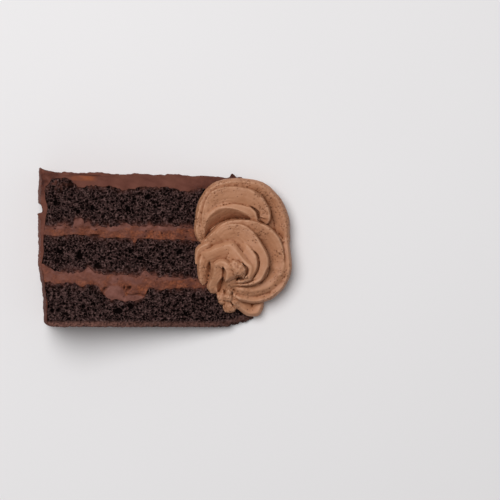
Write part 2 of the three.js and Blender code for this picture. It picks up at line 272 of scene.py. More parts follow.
def stepped(x, start, rises):
    """start, plus a smooth rise from low to high for each (low, high, rise)."""
    return sum((rise * smoothstep(x, low, high) for low, high, rise in rises), start)


def bump(s, place, half_width, rise, flatness=2):
    """A rounded rise or dip around a place; an even flatness above 2 gives it a flat top."""
    return rise * np.exp(-(((s - place) / half_width) ** flatness))


def uneven(a, b):
    """Gentle unevenness between -1 and 1, the same as in the solids."""
    wave = np.sin(0.83 * a + 1.9 * np.sin(0.31 * b))
    return 0.6 * wave + 0.4 * np.sin(1.37 * b - 0.59 * a)


def noise(points, size, seed):
    """Smooth random values between -1 and 1 at points of 2 or 3 coordinates, in lumps of a size.

    Each use has a seed of its own, so that no two lie alike.
    """
    dimensions = points.shape[-1]
    table = np.random.default_rng(seed).uniform(-1, 1, (CELLS,) * dimensions)
    scaled = points / size
    cell = np.floor(scaled).astype(int)
    part = scaled - cell
    part = part * part * (3 - 2 * part)
    total = np.zeros(points.shape[:-1])
    for corner in np.ndindex(*(2,) * dimensions):
        weight = np.prod(np.where(corner, part, 1 - part), axis=-1)
        index = np.moveaxis((cell + corner) % CELLS, -1, 0)
        total += weight * table[tuple(index)]
    return total


def rough(points, size, seed, octaves=3):
    """Noise with finer noise on top, between about -1 and 1."""
    layers = [noise(points, size / 2**k, seed + k) / 2**k for k in range(octaves)]
    return sum(layers) / sum(1 / 2**k for k in range(octaves))


def grain(points, layers):
    """Rough relief at points, summed over layers of amount, size of lumps and seed."""
    return sum(amount * rough(points, size, seed) for amount, size, seed in layers)


def pits(points, spacing, radius, share, seed):
    """How deep each 2-D point lies in scattered round pits, from 0 outside to 1 at the middle."""
    rng = np.random.default_rng(seed)
    jitter = rng.uniform(-0.38, 0.38, (CELLS, CELLS, 2))
    size = radius * rng.uniform(0.55, 1.15, (CELLS, CELLS))
    size[rng.random((CELLS, CELLS)) > share] = 1e-6  # no pit in these cells
    cell = np.floor(points / spacing).astype(int)
    depth = np.zeros(points.shape[:-1])
    for offset in np.ndindex(3, 3):
        near = cell + offset - np.array((1, 1))
        index = tuple(np.moveaxis(near % CELLS, -1, 0))
        centre = (near + 0.5 + jitter[index]) * spacing
        ratio = np.linalg.norm(points - centre, axis=-1) / size[index]
        depth = np.maximum(depth, np.sqrt(np.clip(1 - ratio**2, 0, 1)))
    return depth


# ---- the slice's outline ----
# s is the distance from the cake's axis along the slice, h the height up the cake, and w runs from
# 0 at the lower cut face to 1 at the sloping one.


def thickness(s):
    """How far the sloping cut lies above the lower one."""
    return TIP_THICKNESS + SLOPE * np.maximum(s, -TIP_OVERRUN)


def rim_radius(h):
    """The frosted cake's radius, which draws in near the base and rounds over at it."""
    lean = RIM_INSET * (1 - smoothstep(h, RIM_INSET_FROM, RIM_INSET_TO))
    below = np.clip(BASE_ROUNDING - h, 0, BASE_ROUNDING)
    rounding = BASE_ROUNDING - np.sqrt(BASE_ROUNDING**2 - below**2)
    return CAKE_RADIUS - lean - rounding


def rim_distance(h, w):
    """The rim over its frosting, with the frosting torn off in one place."""
    beside_tear = np.abs(h - NOTCH_HEIGHT) - NOTCH_HALF_WIDTH + 0.5 * noise(pair(h, 5 * w), 1.3, 63)
    torn = NOTCH_DEPTH * (1 - smoothstep(beside_tear, -0.4, 0.5))
    specks = w**4 * sum(bump(h, *speck) for speck in RIM_SPECKS)
    rubbed_off = stepped(h, *RUBBED_OFF) + bump(h, 35, 6, 0.3)
    unevenness = grain(pair(h, 9 * w), [(0.3, 2.2, 64), (0.3, 0.8, 65)])
    circle = np.sqrt(rim_radius(h) ** 2 - (w * RIM_CURVE) ** 2)
    return circle - rubbed_off - torn + specks + unevenness


def crumb_rim(h, w):
    """The crumb's end under the side frosting, which thins out near the base at the sloping cut."""
    at_cut = stepped(h, *COAT_AT_CUT) + 0.35 * noise(pair(h, 5 * w), 3.5, 62)
    torn = 0.7 * np.clip(1 - np.abs(h - NOTCH_HEIGHT) / NOTCH_REACH, 0, 1)
    coat = lerp(SIDE_FROSTING, at_cut, w**3)
    return np.sqrt((rim_radius(h) - coat) ** 2 - (w * RIM_CURVE) ** 2) - 0.3 - torn * w**3


def tip_distance(h, w):
    """The crumbly tip, a little past the cake's axis."""
    crumbly = grain(pair(h, 9 * w), [(0.8, 2.5, 61), (0.5, 0.9, 66)])
    return crumbly - TIP_OVERRUN * (0.75 + 0.25 * uneven(2.2 * h, 3 * w))


def cake_base(s, w):
    """The cake's base, which is broken off raggedly near the tip."""
    broken = BROKEN_HEIGHT * (1 - smoothstep(s, -TIP_OVERRUN, BROKEN_LENGTH))
    crumbs = 0.8 * noise(pair(s, 6 * w), 1.7, 67) + 0.6 * noise(pair(s, 9 * w), 0.7, 68)
    return broken + crumbs * smoothstep(broken, 0, 1)


class Surface(NamedTuple):
    """A surface between crumb and cream."""

    height: float  # up the cake, at its axis
    rise: float  # for each millimetre away from the axis
    drift: float  # how much it differs from one cut face to the other
    ragged: float  # fine waviness at the sloping cut
    seed: int
    bumps: list  # place, half width and rise of each, and its flatness where it has a flat top

    def at(self, s, w):
        """Its height up the cake."""
        along = pair(s, 3 * w)
        drift = self.drift * (1 - w) * np.sin(0.09 * s + 2 * w)
        waves = 0.6 * noise(along, 2.6, self.seed) + 0.6 * noise(along, 1.0, self.seed + 1)
        level = self.height + self.rise * s + sum(bump(s, *row) for row in self.bumps)
        return level + drift + self.ragged * w**3 * waves


LOWER_FILLING_UNDER = Surface(
    height=17.4,
    rise=0.031,
    drift=0.7,
    ragged=0.8,
    seed=11,
    bumps=[(58.7, 10.4, -7, 8), (43, 3.5, -1.6), (78, 2.4, -1.2)],  # the first is the dollop
)
LOWER_FILLING_TOP = Surface(
    height=21.8,
    rise=0.041,
    drift=0.7,
    ragged=0.7,
    seed=21,
    bumps=[(96, 4, 3.3), (75.1, 1.9, 2.4), (49, 2, 2.1), (53.5, 2.4, -0.9)],
)
UPPER_FILLING_UNDER = Surface(
    height=40.1, rise=0.023, drift=-0.6, ragged=0.4, seed=31, bumps=[(81, 4, 1.1), (54, 1, -2.6)]
)
UPPER_FILLING_TOP = Surface(
    height=47.3,
    rise=-0.007,
    drift=-0.6,
    ragged=0.8,
    seed=41,
    bumps=[(75.3, 1.6, 1.7), (57.3, 1.4, 1.6)],
)
FROSTING_UNDER = Surface(
    height=65.4,
    rise=0.0,
    drift=0.5,
    ragged=0.9,
    seed=51,
    bumps=[(59, 3, -2), (30, 7, -1.3), (87.5, 5.9, 3.3, 6)],  # the last is the thin corner
)


def upper_filling_top(s, w):
    """The upper filling's top, with its round blob."""
    blob = BLOB_RISE * np.sqrt(np.clip(1 - ((s - BLOB_AT) / BLOB_RADIUS) ** 2, 0, 1))
    return UPPER_FILLING_TOP.at(s, w) + blob


def frosting_top(s, w):
    """The frosted top, with its lip at the rim and the crumb stuck to it."""
    lip = LIP_RISE * smoothstep(s, LIP_FROM, LIP_TO)
    dip = TIP_DIP * (1 - smoothstep(s, TIP_DIP_FROM, TIP_DIP_TO))
    along = pair(s, 3 * w)
    lumpy = w**2 * (0.3 * rough(along, 5, 53) + 0.35 * noise(along, 1.7, 54))
    crumb = w**4 * bump(s, CRUMB_AT, CRUMB_HALF_WIDTH, CRUMB_RISE, 4)
    return CAKE_HEIGHT + lip - dip + 0.3 * uneven(0.45 * s, 2 * w) + lumpy + crumb


def on_slice(s, h, w):
    """Points in millimetres at places of the slice, without any relief."""
    relief = CUT_RELIEF * w * uneven(s, 1.3 * h) * smoothstep(s, 0, 12)
    return np.stack([-s, h, w * thickness(s) + relief], -1)


def layer_place(under, over, nominals, bottom_gap):
    """The place function of a layer between two surfaces, from the tip to the side frosting."""

    def height(s, v, w):
        return lerp(under(s, w) + bottom_gap, over(s, w) - JOINT, v)

    def place(u, v, w):
        nominal = lerp(*nominals, v)
        tip = tip_distance(nominal, w)
        first_guess = lerp(tip, crumb_rim(nominal, w) - JOINT, u)
        s = lerp(tip, crumb_rim(height(first_guess, v, w), w) - JOINT, u)
        return on_slice(s, height(s, v, w), w)

    return place


class Patch(NamedTuple):
    """A patch on the sloping cut: its middle, its half sizes and how square it is each way."""

    s: float
    h: float
    half_length: float
    half_height: float
    squareness: tuple = (2, 2)

    def away(self, s, h):
        """How far places are from its middle, with 1 at its edge on either axis."""
        along, up = self.squareness
        return ((s - self.s) / self.half_length) ** along + ((h - self.h) / self.half_height) ** up

    def fade(self, s, h):
        """1 at its middle, fading away outside it."""
        return np.exp(-self.away(s, h))


# ---- meshes ----


def make_object(name, points, faces, attributes, material):
    """A mesh object from points in the slice's own axes, in millimetres, at the origin."""
    mesh = bpy.data.meshes.new(name)
    shifted = (points + np.array([AXIS_X, BASE_Y, 0])) * MM
    mesh.from_pydata(shifted.tolist(), [], faces)
    mesh.polygons.foreach_set("use_smooth", [True] * len(mesh.polygons))
    for key, values in attributes.items():
        layer = mesh.attributes.new(key, "FLOAT", "POINT")
        layer.data.foreach_set("value", np.asarray(values, np.float32))
    mesh.update()
    if mesh.validate():
        raise RuntimeError(f"{name} has a bad face")
    mesh.materials.append(material)
    obj = bpy.data.objects.new(name, mesh)
    bpy.context.scene.collection.objects.link(obj)
    return obj


def border(along, up):
    """Grid places (i, j) round a grid's edge, clockwise seen from above."""
    places = [(i, 0) for i in range(along)]
    places += [(along, j) for j in range(up)]
    places += [(i, up) for i in range(along, 0, -1)]
    places += [(0, j) for j in range(up, 0, -1)]
    return np.array(places)


def grid_quads(numbers, upward):
    """Quads of a grid, given each place's vertex number."""
    corners = [numbers[:-1, :-1], numbers[:-1, 1:], numbers[1:, 1:], numbers[1:, :-1]]
    quads = np.stack([c.ravel() for c in corners], -1)
    return (quads if upward else quads[:, ::-1]).tolist()


def band(upper, lower):
    """Faces between two closed rings of vertices, the lower with as many or half as many."""
    if len(upper) == len(lower):
        ring = [upper, np.roll(upper, -1), np.roll(lower, -1), lower]
        return np.stack(ring, -1).tolist()
    first, middle, last = upper[::2], upper[1::2], np.roll(upper, -2)[::2]
    after = np.roll(lower, -1)
    triples = [(first, middle, lower), (middle, after, lower), (middle, last, after)]
    return np.concatenate([np.stack(t, -1) for t in triples]).tolist()


def block(name, place, finish, along, up, levels, material):
    """A closed block with a dense upper face, walls that coarsen downwards and a coarse base.

    place(u, v, w) gives points; finish(points, u, v, w) adds their relief and gives attributes.
    levels are the rings down the walls, the last one round the base. Each is (w, stride) and has
    a point at every stride-th place of the upper face's edge. From one to the next the stride stays
    or doubles.
    """
    u, v = np.meshgrid(np.linspace(0, 1, along + 1), np.linspace(0, 1, up + 1), indexing="ij")
    u, v = u.ravel(), v.ravel()
    points, attributes = finish(place(u, v, np.ones_like(u)), u, v, np.ones_like(u))
    numbers = np.arange(len(u)).reshape(along + 1, up + 1)
    faces = grid_quads(numbers, upward=True)
    edge = border(along, up)
    ring = numbers[edge[:, 0], edge[:, 1]]
    top_height = points[ring, 2]
    all_points = [points]
    all_attributes = [attributes]
    count = len(points)
    for w, stride in levels:
        kept = edge[::stride]
        ring_u, ring_v = kept[:, 0] / along, kept[:, 1] / up
        ring_w = np.full(len(kept), w)
        level = place(ring_u, ring_v, ring_w)
        level[:, 2] = w * top_height[::stride]
        level, values = finish(level, ring_u, ring_v, ring_w)
        next_ring = count + np.arange(len(kept))
        faces += band(ring, next_ring)
        all_points.append(level)
        all_attributes.append(values)
        ring = next_ring
        count += len(kept)
    base_u, base_v = np.meshgrid(
        np.arange(stride, along, stride) / along, np.arange(stride, up, stride) / up, indexing="ij"
    )
    inner = place(base_u.ravel(), base_v.ravel(), np.zeros(base_u.size))
    inner, values = finish(inner, base_u.ravel(), base_v.ravel(), np.zeros(base_u.size))
    all_points.append(inner)
    all_attributes.append(values)
    base = np.zeros((along // stride + 1, up // stride + 1), int)
    base[1:-1, 1:-1] = count + np.arange(base_u.size).reshape(base_u.shape)
    kept = edge[::stride] // stride
    base[kept[:, 0], kept[:, 1]] = ring
    faces += grid_quads(base, upward=False)
    merged = {k: np.concatenate([a[k] for a in all_attributes]) for k in attributes}
    return make_object(name, np.concatenate(all_points), faces, merged, material)


def wall_levels(count):
    """The levels of a block's walls, with a first one just under its upper face."""
    rings = [(w, 2) for w in np.linspace(1, 0, count + 1)[1:-2]]
    return [(0.995, 1)] + rings + [(1.5 / count, 4), (0, 8)]


# ---- crumb ----

PORE_STRETCH = 0.8  # pores are this much narrower up the cake than along it
FINE_PORE_DEPTH, MIDDLE_PORE_DEPTH, BIG_PORE_DEPTH = 0.5, 0.9, 1.6
DEEPEST_PORE = 0.6  # as a share of the crumb's thickness
CUT_SWELL = [(0.16, 1.1, 111), (0.25, 4.5, 112)]  # amount, size of lumps and seed
BASE_GRAIN = [(0.2, 2, 113), (0.35, 0.8, 116)]
TIP_GRAIN = [(0.5, 2.2, 114)]
BASE_SKIN, TIP_SKIN = 0.8, 1.2  # how far in from the base and the tip their grain fades
CRUST_FROM, CRUST_TO = 1.4, 3.2  # the baked crust ends between these heights over the base
BAKED = (0.4, [(8, 20, 0.25), (48, 68, 0.35)])  # at the tip, and how it grows towards the rim
CRUMBLED_CORNER = Patch(91, 68, 7, 4.5)  # brown frosting dragged over the crumb at the top


def crumb_depth(points):
    """Depth of the crumb's pores at 2-D points, in millimetres, and how hollow it is, 0 to 1."""
    warp = np.stack([noise(points, 1.4, 101), noise(points, 1.4, 102)], -1)
    bent = (points + 0.4 * warp) * np.array([PORE_STRETCH, 1.0])
    fine = pits(bent, spacing=0.95, radius=0.46, share=0.8, seed=103)
    middle = pits(bent + 5, spacing=1.9, radius=0.62, share=0.5, seed=104)
    big = np.zeros(len(points))
    wavy = 0.45 * noise(points, 1.1, 105)
    for s, h, radius in BIG_PORES:
        away = np.hypot(bent[:, 0] / PORE_STRETCH + s, bent[:, 1] - h) / radius + wavy
        big = np.maximum(big, 1 - smoothstep(away, 0.4, 1.3))
    depth = np.maximum(FINE_PORE_DEPTH * fine, MIDDLE_PORE_DEPTH * middle)
    # how hollow it is sets the painted shade in the pores
    hollow = np.maximum(0.45 * fine, 0.9 * middle)
    return np.maximum(depth, BIG_PORE_DEPTH * big), np.maximum(hollow, big)


def smeared_cream(points, v, height, is_bottom):
    """Where cream is smeared over a layer's crumb at the sloping cut, 0 to 1."""
    plan = points[:, :2]
    from_edge = np.minimum(v, 1 - v) * height
    smear = np.exp(-from_edge) * (0.65 + noise(plan, 1.7, 115)) * (1 - 0.5 * (v > 0.5))
    if is_bottom:
        smear = smear * (v > 0.5)
    corner = CRUMBLED_CORNER.fade(-points[:, 0], points[:, 1])
    return np.clip(np.maximum(smear, corner * (0.15 + 0.9 * noise(plan, 1.2, 117))), 0, 1)


def crumb_layer(name, under, over, nominals, settings, material):
    """One layer of the cake between two surfaces, inside the side frosting."""
    low, high = nominals
    is_bottom = low == 0

    def finish(points, u, v, w):
        plan = points[:, :2]
        on_cut = w == 1
        depth, hollow = crumb_depth(plan)
        height = points[:, 2]
        sunk = np.where(on_cut, settings.pore_depth * depth - grain(plan, CUT_SWELL), 0)
        points = points.copy()
        points[:, 2] = np.maximum(height - np.minimum(sunk, DEEPEST_PORE * height), 0)
        side = pair(points[:, 0], points[:, 2] + 50)  # shifted, so that its pores aren't the cut's
        side_depth, side_hollow = crumb_depth(side)
        above_base = points[:, 1] - under(-points[:, 0], w)
        if is_bottom:
            base_relief = 0.5 * side_depth - grain(side, BASE_GRAIN)
            points[:, 1] += np.exp(-above_base / BASE_SKIN) * base_relief
        end = pair(points[:, 1] + 90, points[:, 2])
        points[:, 0] += np.exp(-u * CAKE_RADIUS / TIP_SKIN) * grain(end, TIP_GRAIN)
        baked = is_bottom * stepped(-points[:, 0], *BAKED)
        return points, {
            # hollow paints shade into the pores of the cut and the sides
            "hollow": np.where(on_cut, hollow, side_hollow),
            "smear": smeared_cream(points, v, high - low, is_bottom) * on_cut,
            "crust": baked * (1 - smoothstep(above_base, CRUST_FROM, CRUST_TO)),
        }

    place = layer_place(under, over, nominals, bottom_gap=0 if is_bottom else JOINT)
    levels = wall_levels(40 if is_bottom else 24)
    return block(name, place, finish, settings.along, settings.up, levels, material)


# ---- cream ----

CREAM_GRAIN = [(0.14, 0.9, 121)]
CREAM_SWELL = [(0.3, 3, 122)]
DOLLOP = Patch(62.8, 15.2, 5.2, 4.3)  # smooth cream that sinks into the bottom layer
DOLLOP_TAIL = Patch(54.5, 12.8, 6, 2.3)
CREAM_HOLE = Patch(56.6, 18.3, 2.1, 1.0)
CREAM_BLOB = Patch(BLOB_AT, 49, 2.6, 2.6, (4, 4))
CREAM_SLOT = Patch(72, 42.4, 2.3, 0.6, (4, 4))
CRACK_HEIGHT, CRACK_HALF_WIDTH, CRACK_FROM, CRACK_TO = 15.2, 0.28, 47, 57.5
RIM_SHADE_FROM, RIM_SHADE_TO, RIM_SHADE_TOP = 64.5, 66.5, 18.5  # at the dollop's outer side
PALE_BAND_RISE, PALE_BAND_FALL = (64, 70), (92, 95)  # it comes and goes between these
SWIRL_SHADE_FROM, SWIRL_SHADE_TO = 25, 50  # the cream darkens a little towards the swirl


class CreamMarks(NamedTuple):
    """What sets places of a filling apart, with one value for each point."""

    smooth: np.ndarray  # 1 where the cream is smooth
    grainy: np.ndarray  # the share of the usual grain that is left
    raised: np.ndarray  # millimetres
    # painted shade in holes, cracks and the slot, on the dollop's rim and towards the swirl, and a
    # darker end by the rim
    dark: np.ndarray
    light: np.ndarray


def lower_filling_marks(s, h, v, plan):
    """The smooth dollop with its tail and shaded rim, its hole and crack, and the pale band."""
    wobble = 0.35 * rough(plan, 3.5, 126)
    outline = DOLLOP.away(s, h) + wobble
    smooth = 1 - smoothstep(outline, 0.5, 1.3)
    shaded_side = smoothstep(s, RIM_SHADE_FROM, RIM_SHADE_TO) * (h < RIM_SHADE_TOP)
    rim = bump(outline, 1.2, 0.22, 1) * shaded_side
    edge = CREAM_HOLE.away(s, h) + 0.9 * noise(plan, 0.9, 128)
    hole = 0.85 * (1 - smoothstep(edge, 0.1, 1.1))
    crack = bump(h - 0.3 * np.sin(s), CRACK_HEIGHT, CRACK_HALF_WIDTH, 1)
    crack = crack * (s > CRACK_FROM) * (s < CRACK_TO)
    by_swirl = 0.14 * (1 - smoothstep(s, SWIRL_SHADE_FROM, SWIRL_SHADE_TO))
    band = smoothstep(s, *PALE_BAND_RISE) * (1 - smoothstep(s, *PALE_BAND_FALL))
    band = band * smoothstep(v, 0.1, 0.4)
    tail = 1 - smoothstep(DOLLOP_TAIL.away(s, h) + wobble, 0.6, 1.4)
    return CreamMarks(
        smooth=smooth,
        grainy=1 - 0.85 * smooth,
        raised=0.6 * smooth - 0.9 * rim - 1.8 * hole - 0.7 * crack,
        # painted shade in the hole and the crack, on the shaded rim and towards the swirl
        dark=np.max([0.5 * rim, hole, 0.7 * crack, by_swirl], axis=0),
        light=np.maximum(0.6 * band, 0.9 * tail),
    )


def upper_filling_marks(s, h, *_):
    """The smooth blob over the filling, the slot under it and its darker ends."""
    blob = CREAM_BLOB.fade(s, h)
    slot = CREAM_SLOT.fade(s, h)
    by_rim = 0.12 * smoothstep(s, 64, 78)
    by_swirl = 0.22 * (1 - smoothstep(s, SWIRL_SHADE_FROM, SWIRL_SHADE_TO))
    return CreamMarks(
        # the blob is painted pale: a painted highlight on the raised blob
        smooth=blob,
        grainy=1 - 0.7 * blob,
        raised=0.7 * blob - 1.2 * slot,
        # painted shade in the slot and towards the swirl, and a darker end by the rim
        dark=np.max([0.9 * slot, by_rim, by_swirl], axis=0),
        light=np.zeros_like(s),
    )


def filling_layer(name, under, over, nominals, find_marks, settings, material):
    """A layer of cream between two layers of crumb."""

    def finish(points, u, v, w):
        s, h = -points[:, 0], points[:, 1]
        plan = points[:, :2]
        marks = find_marks(s, h, v, plan)
        stretched = plan * np.array([0.7, 1]) + 3
        holes = 0.8 * pits(stretched, spacing=3.3, radius=0.4, share=0.3, seed=123)
        swell = grain(plan * np.array([0.5, 1]), CREAM_SWELL)
        relief = (grain(plan, CREAM_GRAIN) + swell - 0.7 * holes) * marks.grainy + marks.raised
        points = points.copy()
        points[:, 2] = np.maximum(points[:, 2] + np.where(w == 1, relief, 0), 0)
        clouds = 0.5 + 0.5 * rough(plan * np.array([0.35, 1]), 5, 124)
        cloudy = 0.3 * smoothstep(s, 62, 92) + 0.3 * clouds
        spread_from = 0.5 + 0.15 * rough(plan, 4, 127) + 0.25 * (1 - smoothstep(s, 25, 45))
        spread_share = 0.75 + 0.4 * noise(plan, 2.5, 125)
        spread = smoothstep(v, spread_from, spread_from + 0.3) * spread_share
        # marks.smooth makes the upper blob pale as a painted highlight
        pale = np.max([cloudy, marks.smooth, marks.light, spread], axis=0)
        return points, {
            "pale": np.clip(pale, 0, 1),
            # hollow paints shade into the pits and into the marks' dark places
            "hollow": np.maximum(holes, marks.dark),
        }

    place = layer_place(under, over, nominals, bottom_gap=JOINT)
    return block(name, place, finish, settings.along, settings.up, wall_levels(16), material)


# ---- frosting ----

FROSTING_DIVISIONS = (576, 24)  # along its strip and across it
FROSTING_CORNER = 0.585  # the share of the strip that lies on the top
FROSTING_TIP_SLANT = 6.8  # its upper edge starts this far behind its lower one
FROSTING_NOMINAL = 65.5  # usual height of its lower side
CUT_WAVES, CUT_RIPPLES = [(0.22, 4, 131)], [(0.08, 1, 132)]
SKIN_GRAIN = [(0.35, 5, 133), (0.25, 1.5, 134)]  # of its outer side
LEDGE_HEIGHT, LEDGE_PROUD = 70.2, 0.35  # frosting above it stands proud of the sloping cut
LEDGE_RISE, LEDGE_FALL = (62, 70), (84, 88)  # the ledge comes and goes between these
LEDGE_LINE_HEIGHT, LEDGE_LINE_FROM, LEDGE_LINE_TO = 70.5, 70, 84  # a dark line along it
CRUMBS_FROM, CRUMBS_TO = (84, 58), (92, 63)  # crumbs in the corner at the rim, s and height
THIN_HEIGHTS = (19, 27)  # below them the side's crumb shows through
WARM_STRIP = Patch(77.5, 69, 5.4, 1.2, (6, 4))
SHADED_SPOT = Patch(23.5, 66, 3, 1.2)


def frosting_place(u, v, w):
    """Places of the coat: u runs from the tip over the top and down the rim, v outwards."""
    inner_rim = crumb_rim(FROSTING_NOMINAL, w) + JOINT
    outer_rim = rim_distance(CAKE_HEIGHT, w)
    tip = tip_distance(FROSTING_NOMINAL, w)
    on_top = u <= FROSTING_CORNER
    down = (u - FROSTING_CORNER) / (1 - FROSTING_CORNER)
    share = np.where(on_top, u / FROSTING_CORNER, down)
    inner_top = lerp(tip, inner_rim, share)
    outer_top = lerp(tip + FROSTING_TIP_SLANT, outer_rim, share)
    inner_down = lerp(FROSTING_UNDER.at(inner_rim, w) + JOINT, 0, share)
    outer_down = lerp(frosting_top(outer_rim, w), 0, share)
    inner_s = np.where(on_top, inner_top, crumb_rim(inner_down, w) + JOINT)
    outer_s = np.where(on_top, outer_top, rim_distance(outer_down, w))
    inner_h = np.where(on_top, FROSTING_UNDER.at(inner_top, w) + JOINT, inner_down)
    outer_h = np.where(on_top, frosting_top(outer_top, w), outer_down)
    return on_slice(lerp(inner_s, outer_s, v), lerp(inner_h, outer_h, v), w)


def frosting_darkness(s, h, w, mottle):
    """Where the frosting is dark: under its ledge, with crumbs, in shade and where it is thin."""
    on_ledge = (s > LEDGE_LINE_FROM) * (s < LEDGE_LINE_TO) * (w == 1)
    ledge_line = bump(h - 0.2 * np.sin(0.4 * s), LEDGE_LINE_HEIGHT, 0.25, 1) * on_ledge
    in_corner = smoothstep(s, CRUMBS_FROM[0], CRUMBS_TO[0])
    in_corner = in_corner * smoothstep(h, CRUMBS_FROM[1], CRUMBS_TO[1])
    corner_crumbs = in_corner * (w > 0.9) * mottle
    by_swirl = 0.35 * (1 - smoothstep(s, 20, 27))
    shade = np.maximum(SHADED_SPOT.fade(s, h), by_swirl) * (w > 0.9)
    thin = (1 - smoothstep(h, *THIN_HEIGHTS)) * (0.35 + 0.6 * mottle) * (0.3 + 0.7 * w)
    crumb = bump(s, CRUMB_AT, 1.3, 1, 4) * smoothstep(h, 70.6, CAKE_HEIGHT) * (w > 0.5)
    return np.clip(0.8 * ledge_line + corner_crumbs + shade + thin + crumb, 0, 1)


def frosting_finish(points, u, v, w):
    """The coat's relief at the sloping cut and on its outer side, and its colours."""
    s, h = -points[:, 0], points[:, 1]
    plan = points[:, :2]
    waves = grain(plan * np.array([0.4, 1]), CUT_WAVES) + grain(plan, CUT_RIPPLES)
    above_ledge = h > LEDGE_HEIGHT + 0.3 * np.sin(0.35 * s)
    ledge = above_ledge * smoothstep(s, *LEDGE_RISE) * (1 - smoothstep(s, *LEDGE_FALL))
    points = points.copy()
    relief = np.where(w == 1, waves + LEDGE_PROUD * ledge, 0)
    points[:, 2] = np.maximum(points[:, 2] + relief, 0)
    skin = pair(points[:, 0] - points[:, 1], points[:, 2])
    push = np.exp(-6 * (1 - v)) * grain(skin, SKIN_GRAIN)
    on_top = u <= FROSTING_CORNER
    points[:, 1] += np.where(on_top, push, 0)
    points[:, 0] -= np.where(on_top, 0, push)
    mottle = np.clip(0.5 + 0.9 * rough(plan, 1.6, 136), 0, 1)
    warm = WARM_STRIP.fade(s, h) * (w == 1) * (0.35 + 0.55 * mottle)
    return points, {"warm": warm, "dark": frosting_darkness(s, h, w, mottle)}


def frosting_coat(material):
    """The coat over the top that turns down over the rim."""
    divisions = FROSTING_DIVISIONS
    levels = wall_levels(44)
    return block("frosting_visual", frosting_place, frosting_finish, *divisions, levels, material)


# ---- the buttercream swirl ----

TABLE_REACH, TABLE_STEP = 16.0, 0.1  # of the look-up table of a ridge's section
SWIRL_SPACE = [(-30.5, 22.5), (3.5, 73.5), (-0.8, 24.5)]  # the swirl lies inside, in x, y and z
SWIRL_GAP = 0.15  # between the swirl and the cut's highest unevenness
EMPTY = -9.0  # the field's value far outside the swirl
SLOPE_SHARE = 0.8  # domes and creases follow this share of the cut's slope
WAVER, WAVER_SIZE = 0.3, 7.0  # how unsteadily the nozzle was moved
DOME_MELT, LUMP_MELT, RIDGE_MELT, CREASE_MELT = 0.8, 0.5, 0.3, 0.5  # how softly each joins
RIDGE_REACH, CREASE_REACH = 8.0, 6.0  # how far each is felt from its way
RIDGE_END, CREASE_END = 3.5, 2.0  # the length over which each tapers at its ends
RIDGE_SINK = 2.0  # how far a ridge of size 1 sinks at its ends
STREAK_DEPTH, STREAK_WIDTH, STREAK_STRETCH = 0.09, 0.6, 0.04  # fine lines along the ridges
CREASE_OVER_CUT = 1.5  # buttercream left under a crease
SMOOTH_GRAIN = [(0.06, 0.9, 151), (0.12, 3.5, 152)]  # amount, size of lumps and seed
BROKEN_LUMPS, COARSE_LUMPS, BROKEN_GRAIN = 0.4, 0.22, 0.3  # extra roughness of such places
AIR_PIT_TRIES, AIR_PIT_DEPTH = 8000, 0.35
AIR_PIT_CHANCE, COARSE_PIT_CHANCE = 0.02, 0.4
AIR_PIT_SMALLEST, AIR_PIT_LARGEST = 0.2, 0.36  # radius
TABLE_CONTACT = 0.8  # points lower than this stay smooth
BULGE_PASSES = 7
CREST_HIGHLIGHT_BULGE, VALLEY_SHADE_BULGE = (0.004, 0.032), (0.003, 0.035)  # bulge at which the painted crest highlight and the painted valley shade go from none to full, in millimetres


def smooth_path(points, per_span=14):
    """A smooth curve through points."""
    points = np.asarray(points, float)
    ends = [2 * points[0] - points[1]], [2 * points[-1] - points[-2]]
    padded = np.concatenate([ends[0], points, ends[1]])
    t = np.linspace(0, 1, per_span, endpoint=False)[:, None]
    spans = []
    for a, b, c, d in zip(padded, padded[1:], padded[2:], padded[3:]):
        cubic = (-a + 3 * b - 3 * c + d) * t**3 + (2 * a - 5 * b + 4 * c - d) * t**2
        spans.append(0.5 * (cubic + (c - a) * t + 2 * b))
    return np.concatenate(spans + [points[-1:]])


def section_table():
    """Distance inside (+) or outside (-) a ridge's section, on a grid of (outward, up)."""
    axis = np.arange(-TABLE_REACH, TABLE_REACH + TABLE_STEP, TABLE_STEP)
    grid = np.stack(np.meshgrid(axis, axis, indexing="ij"), -1)
    corners = np.array(RIDGE_SECTION, float)
    following = np.roll(corners, -1, axis=0)
    nearest = np.full(grid.shape[:2], np.inf)
    inside = np.zeros(grid.shape[:2], bool)
    for a, b in zip(corners, following):
        way = b - a
        along = np.clip(((grid - a) @ way) / (way @ way), 0, 1)
        nearest = np.minimum(nearest, np.linalg.norm(grid - a - along[..., None] * way, axis=-1))
        crosses = (a[1] > grid[..., 1]) != (b[1] > grid[..., 1])
        rise = way[1] if way[1] else 1.0
        inside ^= crosses & (grid[..., 0] < a[0] + way[0] * (grid[..., 1] - a[1]) / rise)
    return np.where(inside, nearest, -nearest)


def look_up(table, out, up):
    """Values of the section's table between its grid points."""
    last = len(table) - 1.001  # so that the next grid point is in the table too
    a = np.clip((out + TABLE_REACH) / TABLE_STEP, 0, last)
    b = np.clip((up + TABLE_REACH) / TABLE_STEP, 0, last)
    i, j = a.astype(int), b.astype(int)
    p, q = a - i, b - j
    near = lerp(table[i, j], table[i + 1, j], p)
    far = lerp(table[i, j + 1], table[i + 1, j + 1], p)
    return lerp(near, far, q)


def melt(a, b, softness):
    """The larger of two fields, rounded where they cross."""
    overlap = np.maximum(softness - np.abs(a - b), 0) / softness
    return np.maximum(a, b) + overlap**2 * softness / 4


